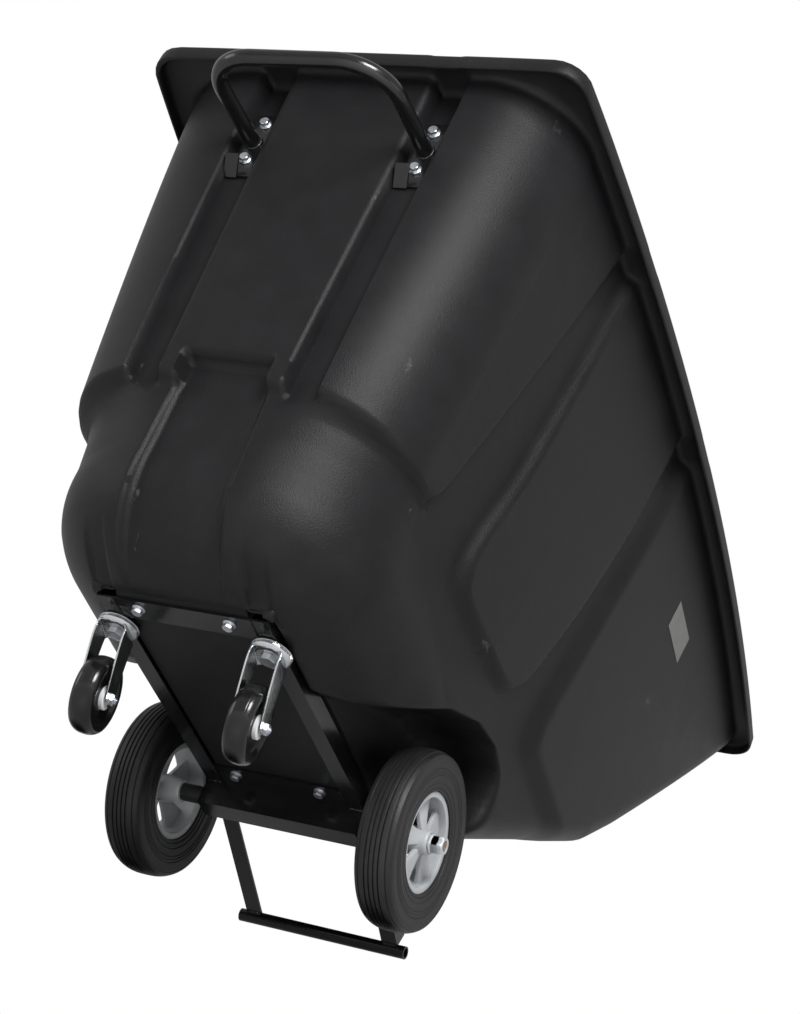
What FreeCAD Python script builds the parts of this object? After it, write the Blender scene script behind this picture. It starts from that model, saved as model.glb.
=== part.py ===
import FreeCAD, Part
import math
import os
import re
from types import SimpleNamespace

import Sketcher

# Tilt truck for yard and garden waste: a moulded tub bolted to an angle-iron frame,
# two large wheels on a through axle in front, two swivel casters behind, a push handle
# on the rear wall and a tip bar in front of the axle that the truck rests on when dumped.
# Frame: +Z up, front of the cart towards -Y, its left side towards +X, ground at z = 0,
# and y = 0 midway between the front rim edge and the back of the handle.

SIZES = {
    # whole cart
    "overall_length": 1770.0, "rim_height": 931.0, "wheel_radius": 127.0, "axle_from_front": 944.0,
    # tub: half widths at the rear, at the widest place and at the front of each level
    "wall": 4.0, "rim_depth": 25.0, "flange_side": 25.0, "flange_rear": 36.0, "flange_front": 40.0,
    "rim_rear_half": 337.0, "rim_mid_half": 374.0, "rim_front_half": 333.0, "rim_rear_reach": 699.0,
    "mid_offset": 124.0, "rim_corner": 60.0,
    "shoulder_height": 364.0, "shoulder_rear_half": 250.0, "shoulder_mid_half": 262.0,
    "shoulder_front_half": 215.0, "shoulder_front_reach": 425.0, "shoulder_step": 14.0,
    "base_height": 169.0, "base_half": 195.0, "base_rear_reach": 516.0, "base_front_reach": 89.0,
    "base_corner": 60.0, "shoulder_corner": 100.0,
    "keel_half": 98.0, "well_radius": 195.0, "well_inner": 128.0,
    "channel_half": 63.0, "channel_depth": 24.0, "channel_top": 427.0,
    "slot_centre": 130.0, "slot_half": 22.0, "slot_depth": 30.0, "slot_bottom": 369.0,
    # frame
    "frame_under": 141.3, "frame_half": 126.2, "frame_rear_reach": 464.5, "angle_leg": 25.4,
    "angle_wall": 3.2, "bar_wall": 4.0, "rear_bar_width": 40.0, "front_bar_reach": 69.6,
    "front_bar_width": 60.0, "axle_tube_side": 37.5, "axle_tube_ahead": 12.0, "axle_tube_wall": 3.0,
    "frame_bolt_spread": 66.7, "rear_bolt_reach": 449.0, "front_bolt_reach": 57.0,
    "bolt_radius": 4.0, "bolt_clearance": 0.4, "hex_radius": 7.5, "head_height": 5.5,
    "washer_radius": 9.0, "washer_wall": 1.6, "nut_height": 6.5,
    # tip stand
    "tip_bar_reach": 250.0, "tip_bar_height": 70.7, "tip_bar_radius": 9.5, "tip_bar_bore": 7.0, "tip_bar_half": 138.0,
    # handle
    "handle_spread": 132.0, "handle_radius": 11.0, "handle_tube_wall": 3.2, "handle_bend": 70.0,
    "handle_slope": 9.3, "bracket_width": 40.0, "bracket_wall": 4.0, "bracket_height": 122.0,
    "ear_width": 20.0, "ear_length": 33.0, "ear_tilt": 38.0,
    # depths below the rim
    "bracket_drop": 71.0, "root_drop": 127.0, "upper_bolt_drop": 89.0, "lower_bolt_drop": 161.0,
    # large wheels
    "axle_radius": 7.9, "axle_half": 246.0, "running_gap": 0.05, "wheel_inner": 169.3,
    "tyre_width": 56.0, "tyre_bore": 70.0, "rim_wall": 4.5, "rim_width": 44.0, "web_wall": 7.0,
    "boss_radius": 19.0, "boss_length": 58.0, "bush_radius": 12.0, "window_radius": 11.0,
    "window_circle": 43.0, "axle_washer_radius": 14.0, "axle_washer_wall": 2.5,
    "axle_nut_radius": 13.5, "axle_nut_height": 12.0, "collar_radius": 13.0, "shoulder_round": 12.0,
    # casters
    "caster_spread": 113.4, "caster_reach": 405.3, "caster_turn": 12.0, "caster_trail": 38.0,
    "caster_radius": 52.0, "caster_width": 32.0, "fork_gap": 37.0, "fork_wall": 3.0,
    "race_radius": 28.0, "race_wall": 3.0, "ball_radius": 2.4, "ball_circle": 21.5,
    "ball_count": 16, "play": 0.3, "kingpin_radius": 6.0, "kingpin_nut_height": 8.0,
    "kingpin_hex": 10.5, "caster_bolt_radius": 5.0, "sleeve_radius": 8.0, "caster_hub_radius": 16.0,
    "caster_hub_width": 35.0, "caster_hex": 8.5, "caster_head_height": 6.0,
    # blank label
    "label_reach": 409.0, "label_drop": 127.0, "label_length": 115.0, "label_height": 46.0,
    "label_wall": 0.6,
}

DOC = FreeCAD.newDocument("TiltTruck")
S = SimpleNamespace(**SIZES)
NODES = []
V = FreeCAD.Vector
TOP_BORE_EXTRA = 20.0      # how far the tub's hollow is cut past the rim
SHEET = "Sizes"

# places worked out once from the driving sizes
FRONT_Y = -S.overall_length / 2
AXLE_Y = FRONT_Y + S.axle_from_front
AXLE_Z = S.wheel_radius
FRAME_TOP = S.frame_under + S.bar_wall
WALL_Y = AXLE_Y + S.rim_rear_reach - S.flange_rear
SLOT_FLOOR_Y = WALL_Y - S.slot_depth
SIDES = (("left", 1), ("right", -1))


def make_sheet():
    """Put every driving size in a spreadsheet cell under its own name."""
    sheet = DOC.addObject("Spreadsheet::Sheet", SHEET)
    for row, (name, value) in enumerate(SIZES.items(), start=1):
        sheet.set(f"A{row}", name)
        sheet.set(f"B{row}", repr(value))
        sheet.setAlias(f"B{row}", name)
    DOC.recompute()


def derived_size(name, value):
    """Add a size worked out from the driving ones to the sheet."""
    SIZES[name] = value
    row = len(SIZES)
    sheet = DOC.getObject(SHEET)
    sheet.set(f"A{row}", name)
    sheet.set(f"B{row}", repr(value))
    sheet.setAlias(f"B{row}", name)
    DOC.recompute()


def in_sheet(formula):
    """Prefix each size name of a formula with the sheet it lives in."""
    return re.sub(r"[a-z][a-z_]+", lambda m: f"{SHEET}.{m[0]}" if m[0] in SIZES else m[0], formula)


def bind(thing, **formulas):
    for name, formula in formulas.items():
        thing.setExpression(name, in_sheet(formula))
    return thing


def place(thing, position=(0, 0, 0), axis=(0, 0, 1), angle=0.0):
    thing.Placement = FreeCAD.Placement(V(*position), FreeCAD.Rotation(V(*axis), angle))
    return thing


def node(thing, label):
    thing.Label = label
    NODES.append(thing)
    return thing


def box(name, length, width, height, position):
    thing = bind(DOC.addObject("Part::Box", name), Length=length, Width=width, Height=height)
    return place(thing, position)


def cylinder(name, radius, height, position, axis=(0, 0, 1), angle=0.0):
    thing = bind(DOC.addObject("Part::Cylinder", name), Radius=radius, Height=height)
    return place(thing, position, axis, angle)


def hexagon(name, radius, height, position, axis=(0, 0, 1), angle=0.0):
    thing = DOC.addObject("Part::Prism", name)
    thing.Polygon = 6
    return place(bind(thing, Circumradius=radius, Height=height), position, axis, angle)


def ring(name, outer, inner, height, position, axis=(0, 0, 1), angle=0.0, hex_outside=False):
    """A washer, or a nut when its outside is a hexagon."""
    shape = hexagon if hex_outside else cylinder
    body = shape(name + "_body", outer, height, position, axis, angle)
    bore = cylinder(name + "_bore", inner, height, position, axis, angle)
    return cut(name, body, bore)


def cut(name, base, tool):
    thing = DOC.addObject("Part::Cut", name)
    thing.Base, thing.Tool = base, tool
    return thing


def fuse(name, *parts):
    thing = DOC.addObject("Part::MultiFuse", name)
    thing.Shapes = list(parts)
    return thing


def group(name, parts):
    """Several like pieces kept as separate solids of one node."""
    thing = DOC.addObject("Part::Compound", name)
    thing.Links = list(parts)
    return thing


def new_body(name):
    return DOC.addObject("PartDesign::Body", name)


def plane_of(body, role):
    return next(f for f in body.Origin.OriginFeatures if f.Role == role)


def new_sketch(body, name, role="XY_Plane", lift=None):
    """A sketch on one of the body's own planes, lifted off it by a formula."""
    sketch = body.newObject("Sketcher::SketchObject", name)
    sketch.AttachmentSupport = [(plane_of(body, role), "")]
    sketch.MapMode = "FlatFace"
    if lift:
        sketch.setExpression(".AttachmentOffset.Base.z", in_sheet(lift))
    return sketch


def dimension(sketch, kind, refs, formula):
    """Add a driving dimension, which starts at the drawn size, and bind it."""
    if kind == "Radius":
        drawn = sketch.Geometry[refs[0]].Radius
    else:
        drawn = getattr(sketch.getPoint(*refs[2:]), kind[-1].lower())
    index = sketch.addConstraint(Sketcher.Constraint(kind, *refs, drawn))
    sketch.setExpression(f"Constraints[{index}]", in_sheet(formula))


def polygon_sketch(body, name, points, role="XY_Plane", lift=None):
    """A closed outline whose corners are formulas (x, y) from the plane's origin."""
    sketch = new_sketch(body, name, role, lift)
    spread = [V(100 * math.cos(i), 100 * math.sin(i), 0) for i in range(len(points))]
    count = len(points)
    for i in range(count):
        sketch.addGeometry(Part.LineSegment(spread[i], spread[(i + 1) % count]), False)
    for i in range(count):
        sketch.addConstraint(Sketcher.Constraint("Coincident", i, 2, (i + 1) % count, 1))
    for i, (across, up) in enumerate(points):
        dimension(sketch, "DistanceX", (-1, 1, i, 1), across)
        dimension(sketch, "DistanceY", (-1, 1, i, 1), up)
    return sketch


def circle_sketch(body, name, circles, role="XY_Plane", lift=None):
    """Circles given as formulas (x, y, radius)."""
    sketch = new_sketch(body, name, role, lift)
    for i, (across, up, radius) in enumerate(circles):
        sketch.addGeometry(Part.Circle(V(i, i, 0), V(0, 0, 1), 5.0 + i), False)
        dimension(sketch, "DistanceX", (-1, 1, i, 3), across)
        dimension(sketch, "DistanceY", (-1, 1, i, 3), up)
        dimension(sketch, "Radius", (i,), radius)
    return sketch


def feature(body, kind, name, sketch, **formulas):
    thing = body.newObject("PartDesign::" + kind, name)
    thing.Profile = sketch
    bind(thing, **formulas)
    return thing


def turned(name, profile):
    """A body of revolution about Z; the profile is formulas (radius, height)."""
    body = new_body(name)
    sketch = polygon_sketch(body, name + "_profile", profile, role="XZ_Plane")
    spin = feature(body, "Revolution", name + "_turn", sketch)
    spin.ReferenceAxis = (sketch, ["V_Axis"])
    spin.Angle = 360
    return body


# ---------------------------------------------------------------- tub

def level_formulas(half_rear, half_mid, half_front, rear, front, corner, height, inset):
    return {"rear_half": f"{half_rear} - {inset}", "mid_half": f"{half_mid} - {inset}",
            "front_half": f"{half_front} - {inset}", "rear": f"{rear} - {inset}",
            "front": f"{front} - {inset}", "corner": f"{corner} - {inset}", "height": height}


def level_sketch(body, name, level, axle="axle_from_front - overall_length / 2"):
    """One level of the tub: straight ends, sides bent once at the widest place, round corners."""
    sketch = new_sketch(body, name, lift=level["height"])
    r = 50.0
    corners = [(1, 1), (-1, 1), (-1, -1), (1, -1)]          # rear left, rear right, front right, front left
    centres = [V(200 * sx, 400 * sy, 0) for sx, sy in corners]
    start = [0.0, 90.0, 180.0, 270.0]
    arcs = []
    for centre, angle in zip(centres, start):
        circle = Part.Circle(centre, V(0, 0, 1), r)
        arcs.append(sketch.addGeometry(
            Part.ArcOfCircle(circle, math.radians(angle), math.radians(angle + 90)), False))
    mid_left, mid_right = V(270, 0, 0), V(-270, 0, 0)
    lines = []
    for a, b in ((V(200, 450, 0), V(-200, 450, 0)), (V(-250, 400, 0), mid_right),
                 (mid_right, V(-250, -400, 0)), (V(-200, -450, 0), V(200, -450, 0)),
                 (V(250, -400, 0), mid_left), (mid_left, V(250, 400, 0))):
        lines.append(sketch.addGeometry(Part.LineSegment(a, b), False))
    rear, right_back, right_front, front, left_front, left_back = lines
    joints = [(arcs[0], 2, rear, 1), (rear, 2, arcs[1], 1), (arcs[1], 2, right_back, 1),
              (right_front, 2, arcs[2], 1), (arcs[2], 2, front, 1), (front, 2, arcs[3], 1),
              (arcs[3], 2, left_front, 1), (left_back, 2, arcs[0], 1)]
    for joint in joints:
        sketch.addConstraint(Sketcher.Constraint("Tangent", *joint))
    sketch.addConstraint(Sketcher.Constraint("Coincident", right_back, 2, right_front, 1))
    sketch.addConstraint(Sketcher.Constraint("Coincident", left_front, 2, left_back, 1))
    for arc, (sx, sy) in zip(arcs, corners):
        half = level["rear_half"] if sy > 0 else level["front_half"]
        reach = level["rear"] if sy > 0 else f"-({level['front']})"
        inward = "-" if sy > 0 else "+"
        dimension(sketch, "Radius", (arc,), level["corner"])
        dimension(sketch, "DistanceX", (-1, 1, arc, 3), f"{sx} * ({half} - ({level['corner']}))")
        dimension(sketch, "DistanceY", (-1, 1, arc, 3),
                  f"{axle} + {reach} {inward} ({level['corner']})")
    for line, sx in ((right_front, -1), (left_back, 1)):
        dimension(sketch, "DistanceX", (-1, 1, line, 1), f"{sx} * ({level['mid_half']})")
        dimension(sketch, "DistanceY", (-1, 1, line, 1),
                  f"{axle} - mid_offset * ({level['front']}) / axle_from_front")
    return sketch


def tub_levels(inset, lift):
    """The four levels of the tub's skin, each moved in and up by formulas."""
    step = "shoulder_step"
    base = level_formulas("base_half", "base_half", f"base_half - {step}", "base_rear_reach",
                          "base_front_reach", "base_corner", f"base_height + {lift}", inset)
    under = level_formulas(f"shoulder_rear_half - {step}", f"shoulder_mid_half - {step}",
                           f"shoulder_front_half - {step}",
                           f"rim_rear_reach - flange_rear - {step}",
                           "shoulder_front_reach - 20", "shoulder_corner",
                           f"shoulder_height + {lift}", inset)
    over = level_formulas("shoulder_rear_half", "shoulder_mid_half", "shoulder_front_half",
                          "rim_rear_reach - flange_rear", "shoulder_front_reach",
                          "shoulder_corner", f"shoulder_height + {lift}", inset)
    top = level_formulas("rim_rear_half - flange_side", "rim_mid_half - flange_side",
                         "rim_front_half - flange_side", "rim_rear_reach - flange_rear",
                         "axle_from_front - flange_front", "rim_corner",
                         f"rim_height + {lift} * {TOP_BORE_EXTRA} / wall", inset)
    return base, under, over, top


def tub_body(name, inset, lift):
    """Keel, lower tier and upper tier of the tub as one solid block."""
    body = new_body(name)
    base, under, over, top = tub_levels(inset, lift)
    lofts = (("lower", base, under), ("upper", over, top))
    for tier, first, last in lofts:
        sketch = level_sketch(body, f"{name}_{tier}_low", first)
        high = level_sketch(body, f"{name}_{tier}_high", last)
        loft = feature(body, "AdditiveLoft", f"{name}_{tier}", sketch)
        loft.Sections = [high]
        loft.Ruled = True
        DOC.recompute()
    axle = "axle_from_front - overall_length / 2"
    half = f"keel_half - {inset}"
    rear = f"{axle} + frame_rear_reach - {inset}"
    front = f"{axle} + {inset}"
    keel = polygon_sketch(body, name + "_keel", [
        (f"-({half})", front), (half, front), (half, rear), (f"-({half})", rear)],
        lift=f"frame_under + bar_wall + {lift}")
    feature(body, "Pad", name + "_keel_pad", keel,
            Length="base_height - frame_under - bar_wall + 1")
    return body


def tub_recesses(name, grow):
    """Wheel arches, handle slots and rear channel, all made larger by a wall when cut from the hollow."""
    extra = S.wall if grow == "wall" else 0.0
    parts = []
    for side, sign in SIDES:
        start = sign * (S.well_inner - extra)
        parts.append(cylinder(f"{name}_arch_{side}", f"well_radius + {grow}", "rim_mid_half",
                              (start, AXLE_Y, AXLE_Z), (0, 1, 0), 90.0 * sign))
        parts.append(box(f"{name}_slot_{side}", f"2 * (slot_half + {grow})", f"2 * slot_depth + {grow}",
                         f"rim_height - rim_depth - slot_bottom + 2 * {grow}",
                         (sign * S.slot_centre - S.slot_half - extra, SLOT_FLOOR_Y - extra,
                          S.slot_bottom - extra)))
    parts.append(box(f"{name}_channel", f"2 * (channel_half + {grow})", f"2 * channel_depth + {grow}",
                     f"channel_top - base_height + {grow}",
                     (-S.channel_half - extra, WALL_Y - S.channel_depth - extra, S.base_height)))
    return fuse(name, *parts)


def rim_body():
    """Flange turned out round the tub's mouth with its edge turned down."""
    body = new_body("Rim")
    level = {"rear_half": "rim_rear_half", "mid_half": "rim_mid_half", "front_half": "rim_front_half",
             "rear": "rim_rear_reach", "front": "axle_from_front", "corner": "rim_corner",
             "height": "rim_height - rim_depth"}
    outline = level_sketch(body, "RimOutline", level)
    feature(body, "Pad", "RimBlock", outline, Length="rim_depth")
    DOC.recompute()
    solid = body.Shape.Volume
    hollow_level = dict(level, **{key: level[key] + " - wall" for key in
                                  ("rear_half", "mid_half", "front_half", "rear", "front", "corner")})
    hollow = level_sketch(body, "RimHollow", hollow_level)
    pocket = feature(body, "Pocket", "RimUnderside", hollow, Length="rim_depth - wall")
    pocket.Reversed = True
    DOC.recompute()
    if body.Shape.Volume > solid * 0.6:
        raise RuntimeError("the rim's underside was not hollowed")
    return body


def make_hopper():
    bolt_bore = "bolt_radius + bolt_clearance"
    outside = cut("TubOutside", tub_body("TubBlock", "0", "0"), tub_recesses("OutsideRecess", "0"))
    shell = fuse("TubAndRim", outside, rim_body())
    inside = cut("TubInside", tub_body("TubHollow", "wall", "wall"), tub_recesses("InsideRecess", "wall"))
    holes = [cylinder(f"FloorHole{i}", bolt_bore, "4 * wall", (x, y, S.frame_under))
             for i, (x, y) in enumerate(frame_bolt_places())]
    holes += [cylinder(f"WallHole{i}", bolt_bore, "4 * wall", (x, SLOT_FLOOR_Y - 3 * S.wall, z),
                       (1, 0, 0), -90.0) for i, (x, z) in enumerate(handle_bolt_places())]
    node(cut("Hopper", shell, fuse("TubCuts", inside, *holes)), "hopper")


# ---------------------------------------------------------------- frame

def frame_bolt_places():
    return [(sx * S.frame_bolt_spread, AXLE_Y + reach)
            for reach in (S.front_bolt_reach, S.rear_bolt_reach) for sx in (1, -1)]


def handle_bolt_places():
    return [(sx * S.slot_centre, z) for sx in (1, -1)
            for z in (S.rim_height - S.lower_bolt_drop, S.rim_height - S.upper_bolt_drop)]


def angle_bar(name, sign, length):
    """Angle iron along Y: one leg flat below, the other upright on the outer side."""
    body = new_body(name)
    leg, wall = "angle_leg", "angle_wall"
    outline = [("0", "0"), (f"-{sign} * {leg}", "0"), (f"-{sign} * {leg}", wall),
               (f"-{sign} * {wall}", wall), (f"-{sign} * {wall}", leg), ("0", leg)]
    sketch = polygon_sketch(body, name + "_section", outline, role="XZ_Plane")
    feature(body, "Pad", name + "_bar", sketch, Length=length)
    DOC.recompute()
    return body


def make_side_members():
    rear = AXLE_Y + S.frame_rear_reach
    for side, sign in SIDES:
        bar = angle_bar(f"SideMember{sign + 1}", sign, "frame_rear_reach + axle_tube_ahead")
        place(bar, (sign * S.frame_half, rear, S.frame_under))
        bore = cylinder(f"KingpinHole{sign + 1}", "kingpin_radius + bolt_clearance", "2 * bar_wall",
                        (sign * S.caster_spread, AXLE_Y + S.caster_reach, S.frame_under - 2))
        node(cut(f"SideMemberBored{sign + 1}", bar, bore), f"side_member_{side}")


def cross_bar(name, width, rear_reach, bolt_reach):
    """Flat bar welded between the side members, with two bolt holes."""
    half = S.frame_half - S.angle_leg
    bar = box(name + "Flat", "2 * (frame_half - angle_leg)", width, "bar_wall",
              (-half, AXLE_Y + rear_reach - getattr(S, width), S.frame_under))
    holes = [cylinder(f"{name}Hole{sx + 1}", "bolt_radius + bolt_clearance", "2 * bar_wall",
                      (sx * S.frame_bolt_spread, AXLE_Y + bolt_reach, S.frame_under - 2))
             for sx in (1, -1)]
    return cut(name, bar, fuse(name + "Holes", *holes))


def make_axle_tube():
    body = new_body("AxleTube")
    side, wall = "axle_tube_side", "axle_tube_wall"
    square = [("0", "0"), (side, "0"), (side, side), ("0", side)]
    sketch = polygon_sketch(body, "AxleTubeSection", square, role="YZ_Plane")
    feature(body, "Pad", "AxleTubeBlock", sketch, Length="2 * frame_half")
    DOC.recompute()
    block = body.Shape.Volume
    bore = [(wall, wall), (f"{side} - {wall}", wall), (f"{side} - {wall}", f"{side} - {wall}"),
            (wall, f"{side} - {wall}")]
    hollow = polygon_sketch(body, "AxleTubeBore", bore, role="YZ_Plane")
    pocket = feature(body, "Pocket", "AxleTubeHollow", hollow, Length="2 * frame_half")
    pocket.Reversed = True
    DOC.recompute()
    if body.Shape.Volume > block * 0.5:
        raise RuntimeError("the axle tube was not hollowed")
    low = S.frame_under - S.axle_tube_side
    node(place(body, (-S.frame_half, AXLE_Y - S.axle_tube_ahead, low)), "axle_tube")
    plates = []
    inner = S.axle_tube_side - 2 * S.axle_tube_wall
    for side, sign in SIDES:
        start = sign * S.frame_half - (S.bar_wall if sign > 0 else 0)
        corner = (start, AXLE_Y - S.axle_tube_ahead + S.axle_tube_wall, low + S.axle_tube_wall)
        plate = box(f"EndPlateFlat{sign + 1}", "bar_wall", "axle_tube_side - 2 * axle_tube_wall",
                    "axle_tube_side - 2 * axle_tube_wall", corner)
        bore = cylinder(f"EndPlateBore{sign + 1}", "axle_radius", "2 * bar_wall",
                        (start - 2, AXLE_Y, AXLE_Z), (0, 1, 0), 90.0)
        plates.append(cut(f"EndPlate{sign + 1}", plate, bore))
    if inner <= 2 * S.axle_radius:
        raise ValueError("the axle does not fit in its tube")
    node(group("EndPlates", plates), "axle_end_plates")
    node(cylinder("AxleRod", "axle_radius", "2 * axle_half", (-S.axle_half, AXLE_Y, AXLE_Z),
                  (0, 1, 0), 90.0), "axle_rod")


def make_tip_stand():
    """Two sloping angle-iron legs carry a round tube across in front of the axle."""
    start_y = AXLE_Y - S.axle_tube_ahead
    end_y = AXLE_Y - S.tip_bar_reach
    drop = S.frame_under - S.tip_bar_height
    slope = math.degrees(math.atan2(drop, start_y - end_y))
    run = math.hypot(drop, start_y - end_y)
    derived_size("tip_leg_length", run - S.tip_bar_radius)
    for side, sign in SIDES:
        leg = angle_bar(f"TipLeg{sign + 1}", sign, "tip_leg_length")
        place(leg, (sign * S.frame_half, start_y, S.frame_under), (1, 0, 0), slope)
        node(leg, f"tip_leg_{side}")
    node(ring("TipBar", "tip_bar_radius", "tip_bar_bore", "2 * tip_bar_half",
              (-S.tip_bar_half, end_y, S.tip_bar_height), (0, 1, 0), 90.0), "tip_bar")


def fasteners(name, places, grip, out, hex_formula="hex_radius"):
    """Hex bolts, washers and nuts at places (x, y, z) of the clamped stack's outer face.

    out is the unit vector from the stack towards the bolt head, grip the stack's thickness.
    """
    turn = {(0, 0, -1): ((1, 0, 0), 180.0), (0, 1, 0): ((1, 0, 0), -90.0)}[out]
    back = tuple(-c for c in out)
    flip = {(0, 0, -1): ((1, 0, 0), 0.0), (0, 1, 0): ((1, 0, 0), 90.0)}[out]
    bolts, washers, nuts = [], [], []
    for i, spot in enumerate(places):
        seat = tuple(c + S.washer_wall * o for c, o in zip(spot, out))
        inner = tuple(c + grip * b for c, b in zip(spot, back))
        tail = f"{grip} + washer_wall + nut_height + 3"
        washers.append(ring(f"{name}Washer{i}", "washer_radius", "bolt_radius", "washer_wall", spot, *turn))
        head = hexagon(f"{name}Head{i}", hex_formula, "head_height", seat, *turn)
        shank = cylinder(f"{name}Shank{i}", "bolt_radius", tail, seat, *flip)
        bolts.append(fuse(f"{name}Bolt{i}", head, shank))
        nuts.append(ring(f"{name}Nut{i}", hex_formula, "bolt_radius", "nut_height", inner, *flip,
                         hex_outside=True))
    return bolts, washers, nuts


def make_fasteners():
    floor = [(x, y, S.frame_under) for x, y in frame_bolt_places()]
    bolts, washers, nuts = fasteners("Frame", floor, S.bar_wall + S.wall, (0, 0, -1))
    node(group("FrameBolts", bolts), "frame_bolts")
    node(group("FrameWashers", washers), "frame_washers")
    node(group("FrameNuts", nuts), "frame_nuts")
    face = SLOT_FLOOR_Y + S.bracket_wall
    wall = [(x, face, z) for x, z in handle_bolt_places()]
    bolts, washers, nuts = fasteners("Handle", wall, S.bracket_wall + S.wall, (0, 1, 0))
    node(group("HandleBolts", bolts), "handle_bolts")
    node(group("HandleWashers", washers), "handle_washers")
    node(group("HandleNuts", nuts), "handle_nuts")


# ---------------------------------------------------------------- handle

def handle_reach():
    """Where the handle's lower edge meets the bracket, and its length to the middle of the grip."""
    slope = math.radians(S.handle_slope)
    root_y = SLOT_FLOOR_Y + S.bracket_wall + S.handle_radius * math.sin(slope)
    run = S.overall_length / 2 - S.handle_radius - root_y
    return root_y, run / math.cos(slope)


def make_handle():
    root_y, reach = handle_reach()
    derived_size("handle_reach", reach)
    body = new_body("Handle")
    path = new_sketch(body, "HandlePath")
    half, bend = S.handle_spread, S.handle_bend
    ends = [V(-half, 0, 0), V(-half, reach - bend, 0), V(-half + bend, reach, 0),
            V(half - bend, reach, 0), V(half, reach - bend, 0), V(half, 0, 0)]
    path.addGeometry(Part.LineSegment(ends[0], ends[1]), False)
    path.addGeometry(Part.ArcOfCircle(Part.Circle(V(-half + bend, reach - bend, 0), V(0, 0, 1), bend),
                                      math.pi / 2, math.pi), False)
    path.addGeometry(Part.LineSegment(ends[2], ends[3]), False)
    path.addGeometry(Part.ArcOfCircle(Part.Circle(V(half - bend, reach - bend, 0), V(0, 0, 1), bend),
                                      0.0, math.pi / 2), False)
    path.addGeometry(Part.LineSegment(ends[4], ends[5]), False)
    for joint in ((0, 2, 1, 2), (1, 1, 2, 1), (2, 2, 3, 2), (3, 1, 4, 1)):
        path.addConstraint(Sketcher.Constraint("Tangent", *joint))
    for arc in (1, 3):
        dimension(path, "Radius", (arc,), "handle_bend")
    for line, point, sign in ((0, 1, -1), (4, 2, 1)):
        dimension(path, "DistanceX", (-1, 1, line, point), f"{sign} * handle_spread")
        dimension(path, "DistanceY", (-1, 1, line, point), "0")
        path.addConstraint(Sketcher.Constraint("Vertical", line))
    dimension(path, "DistanceY", (-1, 1, 2, 1), "handle_reach")
    path.addConstraint(Sketcher.Constraint("Horizontal", 2))
    section = circle_sketch(body, "HandleSection", [
        ("-handle_spread", "0", "handle_radius"),
        ("-handle_spread", "0", "handle_radius - handle_tube_wall")], role="XZ_Plane")
    pipe = feature(body, "AdditivePipe", "HandleTube", section)
    pipe.Spine = path
    node(place(body, (0, root_y, S.rim_height - S.root_drop), (1, 0, 0), -S.handle_slope), "handle_tube")


def make_brackets():
    """Bolted plate in each rear slot, with an ear folded out at its lower left corner."""
    bottom = S.rim_height - S.bracket_drop - S.bracket_height
    for side, sign in SIDES:
        middle = sign * S.slot_centre
        plate = box(f"BracketPlate{sign + 1}", "bracket_width", "bracket_wall", "bracket_height",
                    (middle - S.bracket_width / 2, SLOT_FLOOR_Y, bottom))
        ear = box(f"BracketEar{sign + 1}", "ear_width", "bracket_wall", "ear_length",
                  (middle + S.bracket_width / 2 - S.ear_width, SLOT_FLOOR_Y, bottom))
        place(ear, tuple(ear.Placement.Base), (1, 0, 0), -S.ear_tilt)
        holes = [cylinder(f"BracketHole{sign + 1}_{i}", "bolt_radius", "3 * bracket_wall",
                          (middle, SLOT_FLOOR_Y - S.bracket_wall, z), (1, 0, 0), -90.0)
                 for i, (x, z) in enumerate(handle_bolt_places()) if x == middle]
        both = fuse(f"BracketBlank{sign + 1}", plate, ear)
        node(cut(f"Bracket{sign + 1}", both, fuse(f"BracketHoles{sign + 1}", *holes)),
             f"handle_bracket_{side}")


def wall_half(reach, height):
    """Half width of the upper tier's front flank, at a reach ahead of the axle and a height."""
    share = (height - S.shoulder_height) / (S.rim_height - S.shoulder_height)

    def between(low, high):
        return low + share * (high - low)

    widest = between(S.shoulder_mid_half, S.rim_mid_half - S.flange_side)
    narrowest = between(S.shoulder_front_half, S.rim_front_half - S.flange_side)
    front = between(S.shoulder_front_reach, S.axle_from_front - S.flange_front)
    start = S.mid_offset * front / S.axle_from_front
    end = front - between(S.shoulder_corner, S.rim_corner)
    return widest + (narrowest - widest) * (reach - start) / (end - start)


def make_label():
    """Blank sticker on the right flank, lying in the wall's plane there."""
    reach, height, step = S.label_reach, S.rim_height - S.label_drop, 10.0
    middle = wall_half(reach, height)
    along = V((wall_half(reach + step, height) - middle) / step, 1, 0).normalize()
    upward = V((middle - wall_half(reach, height + step)) / step, 0, 1).normalize()
    inward = along.cross(upward).normalize()
    patch = box("Label", "label_wall", "label_length", "label_height", (0, 0, 0))
    corner = V(-middle, AXLE_Y - reach, height) - inward * (S.play + S.label_wall)
    corner = corner - along * (S.label_length / 2) - upward * (S.label_height / 2)
    patch.Placement = FreeCAD.Placement(corner, FreeCAD.Rotation(inward, along, upward, "XYZ"))
    node(patch, "label_patch")


# ---------------------------------------------------------------- large wheels

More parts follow.
